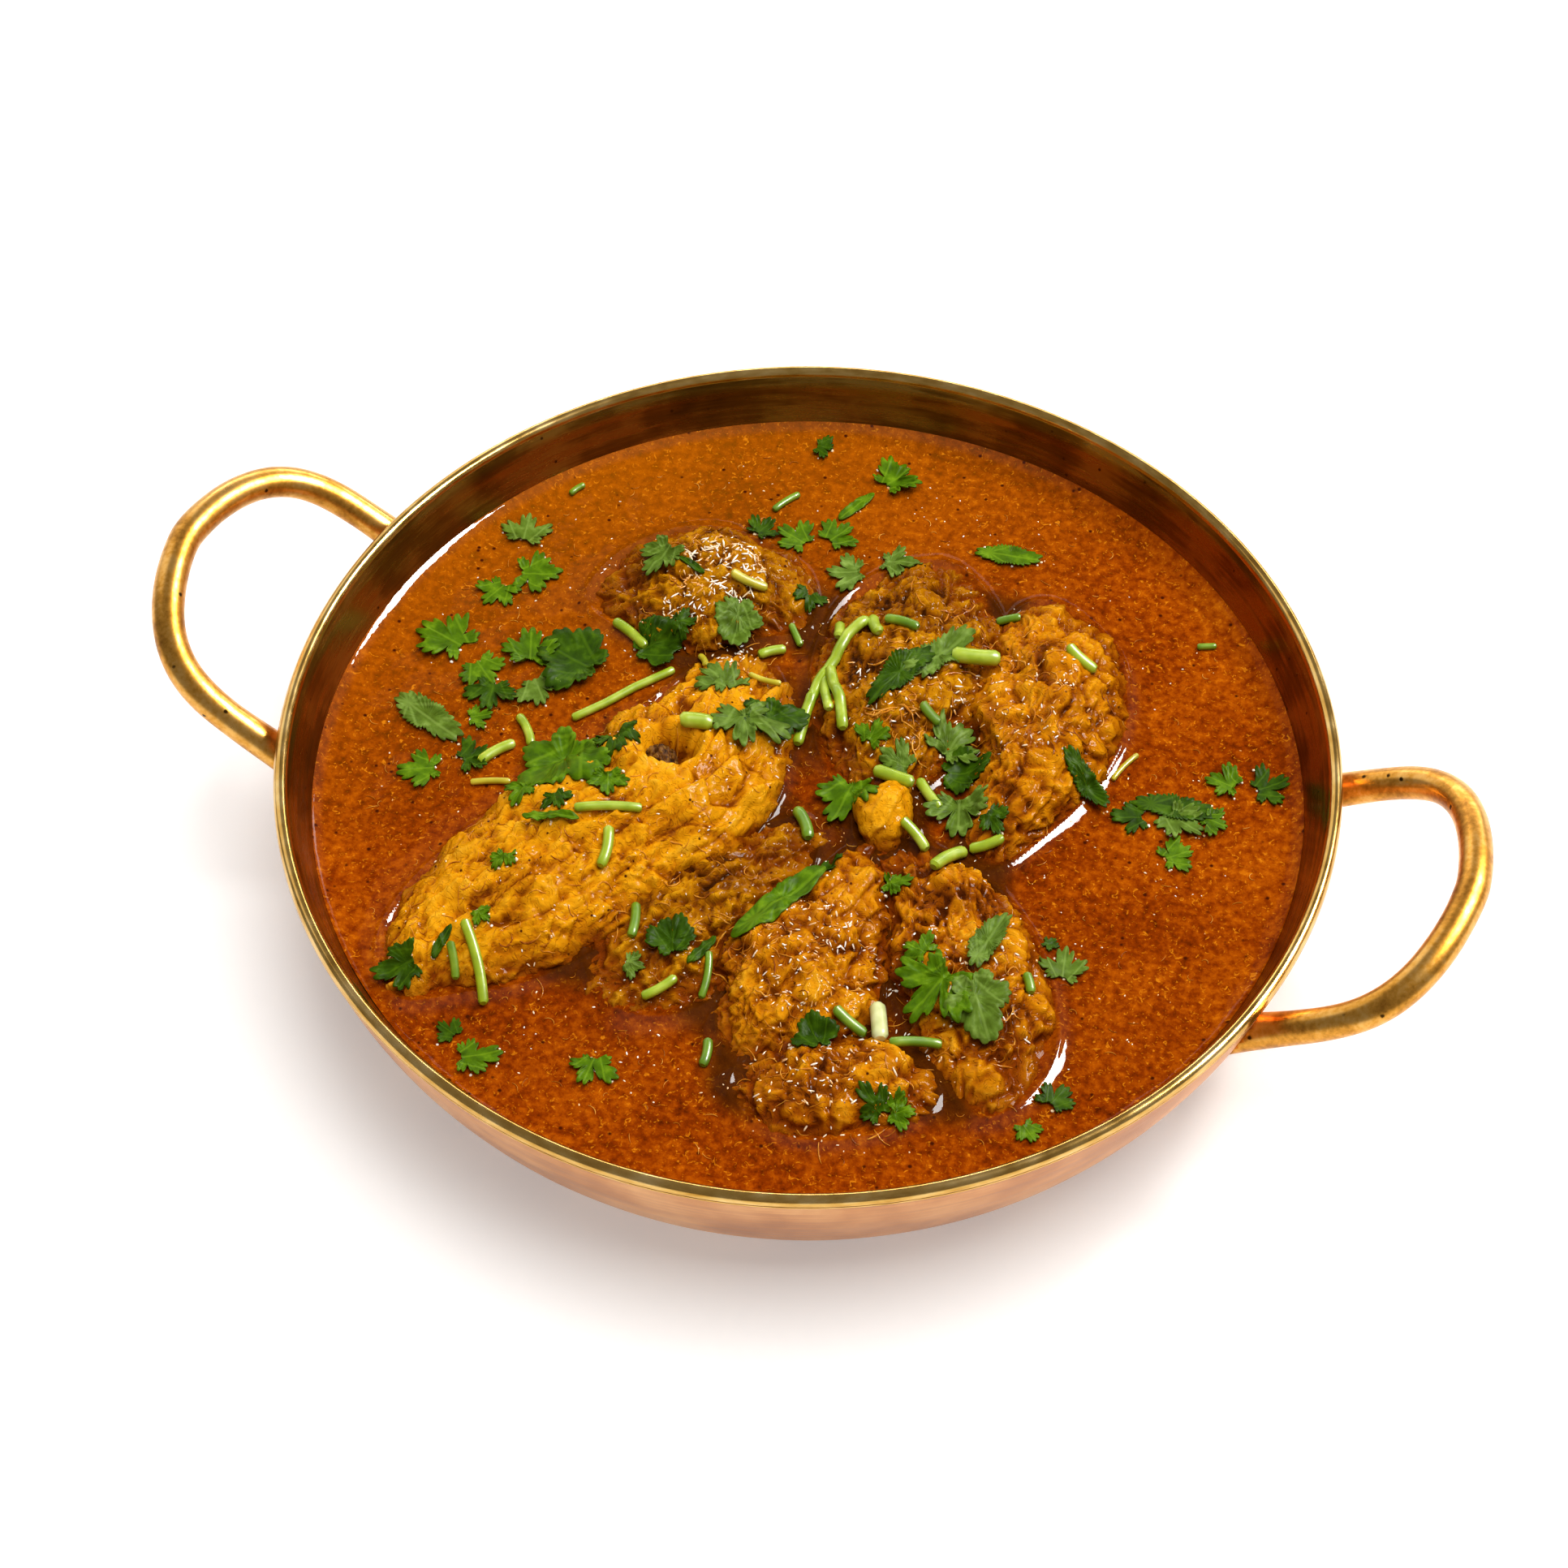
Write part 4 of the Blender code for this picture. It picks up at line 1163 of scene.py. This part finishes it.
# A cut coriander stalk: smooth and juicy, paler than the leaf.
def stalkSkin(tone):
    dark, middle, light = herbs["stalkColours"][tone]
    finish, tree, shader, spot = newFinish("coriander stalk, " + tone)
    skin = mottled(tree, spot, 5.0, 2.0, [(0.15, dark), (0.5, middle), (0.85, light)])[1]
    setNode(shader, {"Roughness": 0.4, "Coat Weight": 0.3, "Coat Roughness": 0.1},
        {"Base Color": skin})
    return finish


# A painted glint: a pale cream to white bead on the sauce, the meat and the leaves' edges that
# stands in for a spark of reflected light, with a real wet shine as well.
def glintBead():
    finish, tree, shader, spot = newFinish("painted glint beads, wet")
    stops = [(0.38, "#E9A450"), (0.46, "#F6DDB2"), (0.6, "#FFF9EE")]
    tone = mottled(tree, spot, 6.0, 2.0, stops)[1]
    setNode(shader, {"Roughness": 0.15, "Coat Weight": 1.0, "Coat Roughness": 0.03},
        {"Base Color": tone})
    return finish


def groundHeight(x, y):  # the top of the food at a place, in metres
    above = Vector((x, y, 0.12))
    hits = [surface.ray_cast(above, -up)[0] for surface in foodSurfaces]
    return max((hit.z for hit in hits if hit), default=gravy["level"])


def leafReach(shape, angle, seed):  # the outline's distance from the leaf's heart
    tooth = abs(math.cos(0.5 * shape["teeth"] * angle + seed)) ** 0.6
    if "narrow" in shape:
        reach = 1.0 / math.hypot(math.cos(angle), math.sin(angle) / shape["narrow"])
    else:
        reach = shape["waist"]
        for middle, length, width in shape["lobes"]:
            middle += 16.0 * noise.noise(Vector((middle * 0.1, seed, 3.0)))
            length *= 1.0 + 0.35 * noise.noise(Vector((middle * 0.1, seed, 8.0)))
            off = abs((math.degrees(angle) - middle + 180.0) % 360.0 - 180.0) / width
            reach = max(reach, length * max(0.0, 1.0 - off ** 2.4) ** 0.45)
    uneven = 1.0 + 0.22 * noise.noise(Vector((math.cos(angle), math.sin(angle), seed)) * 1.7)
    return reach * uneven * (1.0 - shape["bite"] * (1.0 - tooth))


def unitDisc():  # a flat disc of rings, as a mesh to copy
    bm = bmesh.new()
    rings = herbs["rings"]
    verts = [bm.verts.new((step / rings, 0.0, 0.0)) for step in range(rings + 1)]
    edges = [bm.edges.new(pair) for pair in zip(verts, verts[1:])]
    bmesh.ops.spin(bm, geom=verts + edges, cent=(0.0, 0.0, 0.0), axis=up,
                   angle=2.0 * math.pi, steps=herbs["spokes"], use_merge=True)
    bmesh.ops.remove_doubles(bm, verts=bm.verts, dist=0.0001)
    bmesh.ops.recalc_face_normals(bm, faces=bm.faces)
    if bm.faces[:][0].normal.z < 0.0:
        bmesh.ops.reverse_faces(bm, faces=bm.faces)
    return meshFrom(bm, "unitDisc")


def makeLeaves():
    tones = list(herbs["leafColours"])
    disc = unitDisc()
    bm = bmesh.new()
    placeLayer = bm.verts.layers.float_vector.new("leafPlace")
    edgeSpots = []
    steady, chance, toSides = herbs["waviness"]
    for index, (x, y, size, turn, kind, tone, curl) in enumerate(herbs["leaves"]):
        verts, faces = stamped(bm, disc)
        shape = herbs["shapes"][kind]
        heading = math.radians(turn)
        size *= herbs["spread"]
        seed = index * 1.37
        middle = groundHeight(x * mm, y * mm)
        for vert in verts:
            angle = math.atan2(vert.co.y, vert.co.x)
            ring = vert.co.xy.length
            reach = ring * leafReach(shape, angle, seed)
            u, v = reach * math.cos(angle), reach * math.sin(angle)
            aside, ahead = turnedBy(u, v, heading)
            px, py = (x + size * aside) * mm, (y + size * ahead) * mm
            ground = groundHeight(px, py)
            wave = noise.noise(Vector((u * 1.3, v * 1.3, seed + 9.0)))
            lift = curl * (ring * ring * (steady + chance * wave) + toSides * abs(v))
            lying = middle + herbs["drape"] * (ground - middle)
            height = max(ground + herbs["clearance"], lying + (0.5 + 1.5 * lift) * mm)
            height += 0.25 * mm * noise.noise(Vector((u * 4.0, v * 4.0, seed)))
            vert.co = Vector((px, py, height))
            vert[placeLayer] = (u + 0.55, v, 0.0)
            if ring > 0.99 and noise.noise(vert.co * 900.0) > 0.25:
                edgeSpots.append((px, py))
        for face in faces:
            face.material_index = tones.index(tone)
    bm.normal_update()
    grown = bmesh.ops.extrude_face_region(bm, geom=bm.faces[:] + bm.edges[:] + bm.verts[:],
                                          use_keep_orig=True)["geom"]
    under = [item for item in grown if isinstance(item, bmesh.types.BMVert)]
    bmesh.ops.translate(bm, verts=under, vec=-up * herbs["thickness"])
    bmesh.ops.recalc_face_normals(bm, faces=bm.faces)
    addPiece("coriander_leaves", bm, [leafSkin(tone) for tone in tones])
    return edgeSpots


def stalkAlong(bm, path, half, toneIndex):
    half *= 0.85
    faceStart = len(bm.faces)
    frames = []
    for index, (x, y) in enumerate(path):
        before = path[max(index - 1, 0)]
        after = path[min(index + 1, len(path) - 1)]
        along = Vector((after[0] - before[0], after[1] - before[1], 0.0)).normalized()
        middle = Vector((x * mm, y * mm, groundHeight(x * mm, y * mm) + 0.85 * half * mm))
        frames.append([middle, along])
    first, last = frames[0][0].z, frames[-1][0].z
    rises = []
    for index, (middle, along) in enumerate(frames):  # a cut stalk is stiff and lies straight
        rises.append(first + (last - first) * index / (len(frames) - 1))
    lift = max(0.0, max(frame[0].z - rise for frame, rise in zip(frames, rises)))
    stiffness = min(1.0, 9.0 / len(frames))
    for (middle, along), rise in zip(frames, rises):
        middle.z += stiffness * (rise + 0.7 * lift - middle.z)
    sections = []
    for middle, along in frames:
        sections.append((middle, along.cross(up) * half * mm, up * half * mm))
    sweptTube(bm, sections, 12)
    bm.faces.ensure_lookup_table()
    ends = [face for face in bm.faces[faceStart:] if len(face.verts) > 4]
    for face in bm.faces[faceStart:]:
        face.material_index = toneIndex
    for face in ends:  # a cut end: a ring round a shallow hollow
        normal = face.normal.copy()
        bmesh.ops.inset_region(bm, faces=[face], thickness=0.38 * half * mm)
        bmesh.ops.translate(bm, verts=face.verts, vec=-normal * 0.5 * half * mm)
        face.material_index = toneIndex


def makeStalks():
    tones = list(herbs["stalkColours"])
    bm = bmesh.new()
    for x, y, length, half, turn, tone in herbs["stalks"]:
        a = math.radians(turn)
        bend = 0.06 * length * math.sin(x + y)
        path = []
        for step in range(7):
            t = step / 6.0 - 0.5
            side = bend * (1.0 - 4.0 * t * t)
            across, along = turnedBy(length * t, side, a)
            path.append((x + across, y + along))
        stalkAlong(bm, path, half, tones.index(tone))
    for points, half, tone in herbs["sprays"]:
        line = [Vector((x, y, 0.0)) for x, y in points]
        path = [(spot.x, spot.y) for spot in evenlySpaced(line, 4 * len(points))]
        stalkAlong(bm, path, half, tones.index(tone))
    bmesh.ops.recalc_face_normals(bm, faces=bm.faces)
    addPiece("coriander_stalks", bm, [stalkSkin(tone) for tone in tones], sharpAngle=50.0)


def makeBeads(edgeSpots):
    draw = random.Random(12)
    ball = bmesh.new()
    bmesh.ops.create_uvsphere(ball, u_segments=8, v_segments=5, radius=1.0)
    ball = meshFrom(ball, "ball")
    spots = []
    for x, y, reach, count, size, longest in herbs["beads"]:
        for step in range(count):
            spots.append((*scattered(draw, x, y, reach), size, longest))
    atLeaves = min(len(edgeSpots), herbs["beadsAlongLeaf"] * len(herbs["leaves"]))
    for x, y in draw.sample(edgeSpots, atLeaves):
        beside = (x + draw.uniform(-0.5, 0.5) * mm, y + draw.uniform(-0.5, 0.5) * mm)
        spots.append((*beside, *herbs["leafBead"]))
    bm = bmesh.new()
    for x, y, size, longest in spots:
        radius = size * draw.uniform(0.6, 1.15) * mm
        half = radius * draw.uniform(1.0, longest)
        a = draw.uniform(0.0, math.pi)
        if math.hypot(x, y) > herbs["beadLimit"]:
            continue
        reach = Vector((half * math.cos(a), half * math.sin(a), 0.0))
        front = groundHeight(x + reach.x, y + reach.y)
        back = groundHeight(x - reach.x, y - reach.y)
        reach.z = max(-half, min(half, 0.5 * (front - back)))
        middle = Vector((x, y, max(groundHeight(x, y), 0.5 * (front + back)) + 0.15 * radius))
        side = reach.cross(up).normalized() * radius
        over = side.cross(reach).normalized() * radius * 0.8
        for vert in stamped(bm, ball)[0]:
            vert.co = middle + reach * vert.co.x + side * vert.co.y + over * vert.co.z
    addPiece("painted_glint_beads", bm, [glintBead()])


# Thin shreds of onion and ginger cooked soft: patches of x, y, half width in mm, how many,
# then the shred's length and half thickness in mm.
shreds = {
    "patches": [
        (46, 40, 22, 40, 4.0, 0.28), (14, 50, 20, 40, 4.2, 0.28), (17, 20, 9, 36, 4.6, 0.36),
        (-30, 0, 22, 26, 3.2, 0.26), (-55, -60, 26, 34, 3.2, 0.26),
        (-8, -50, 24, 40, 3.8, 0.28), (18, -52, 18, 40, 3.4, 0.28),
        (58, -50, 20, 40, 3.6, 0.28), (34, -82, 20, 36, 3.4, 0.28),
        (-44, 48, 20, 40, 3.6, 0.28), (0, 0, 112, 420, 2.0, 0.24),
    ],
    "kinds": 6,
    "stations": 7,
    "sides": 5,
    "thinness": 0.045,  # of a shred one unit long
    "limit": 0.114,
}


# A soft cooked shred: pale orange with a wet shine.
def softShred():
    finish, tree, shader, spot = newFinish("onion shreds, cooked soft")
    stops = [(0.36, "#8E4404"), (0.50, "#C67A14"), (0.66, "#E6A23A")]
    tone = mottled(tree, spot, 5.0, 2.0, stops)[1]
    setNode(shader, {"Roughness": 0.45, "Specular IOR Level": 0.1, "Coat Weight": 0.3,
            "Coat Roughness": 0.05}, {"Base Color": tone})
    return finish


def makeShreds():
    draw = random.Random(31)
    bm = bmesh.new()
    arcs = []
    for kind in range(shreds["kinds"]):  # a few bent shapes, one unit long, to copy
        arc = bmesh.new()
        bend = 0.4 + 0.35 * kind
        frames = []
        for step in range(shreds["stations"]):
            t = step / (shreds["stations"] - 1)
            a = bend * (t - 0.5) * (1.0 + 0.8 * t)
            middle = Vector((math.sin(a) / bend, (1.0 - math.cos(a)) / bend, 0.0))
            thin = shreds["thinness"] * math.sin(math.pi * (0.12 + 0.76 * t))
            frames.append((middle, Vector((-math.sin(a), math.cos(a), 0.0)) * thin, up * thin))
        sweptTube(arc, frames, shreds["sides"])
        bmesh.ops.recalc_face_normals(arc, faces=arc.faces)
        arcs.append(meshFrom(arc, "shred"))
    for x, y, reach, count, length, half in shreds["patches"]:
        for step in range(count):
            px, py = scattered(draw, x, y, reach)
            turn = Matrix.Rotation(draw.uniform(0.0, 2.0 * math.pi), 3, "Z")
            size = length * draw.uniform(0.6, 1.25) * mm
            fat = half * mm / (shreds["thinness"] * size)
            kind = draw.choice(arcs)
            if math.hypot(px, py) > shreds["limit"]:
                continue
            for vert in stamped(bm, kind)[0]:
                spot = turn @ (vert.co * size)
                height = vert.co.z * size * fat
                here = Vector((px + spot.x, py + spot.y, 0.0))
                here.z = groundHeight(here.x, here.y) + 0.4 * half * mm + height
                vert.co = here
    addPiece("onion_shreds", bm, [softShred()])


foodSurfaces = meatSurfaces + [gravySurface]
makeShreds()
print("shreds made")
edgeSpots = makeLeaves()
print("leaves made")
makeStalks()
makeBeads(edgeSpots)
print("stalks and beads made")


print("all pieces made")
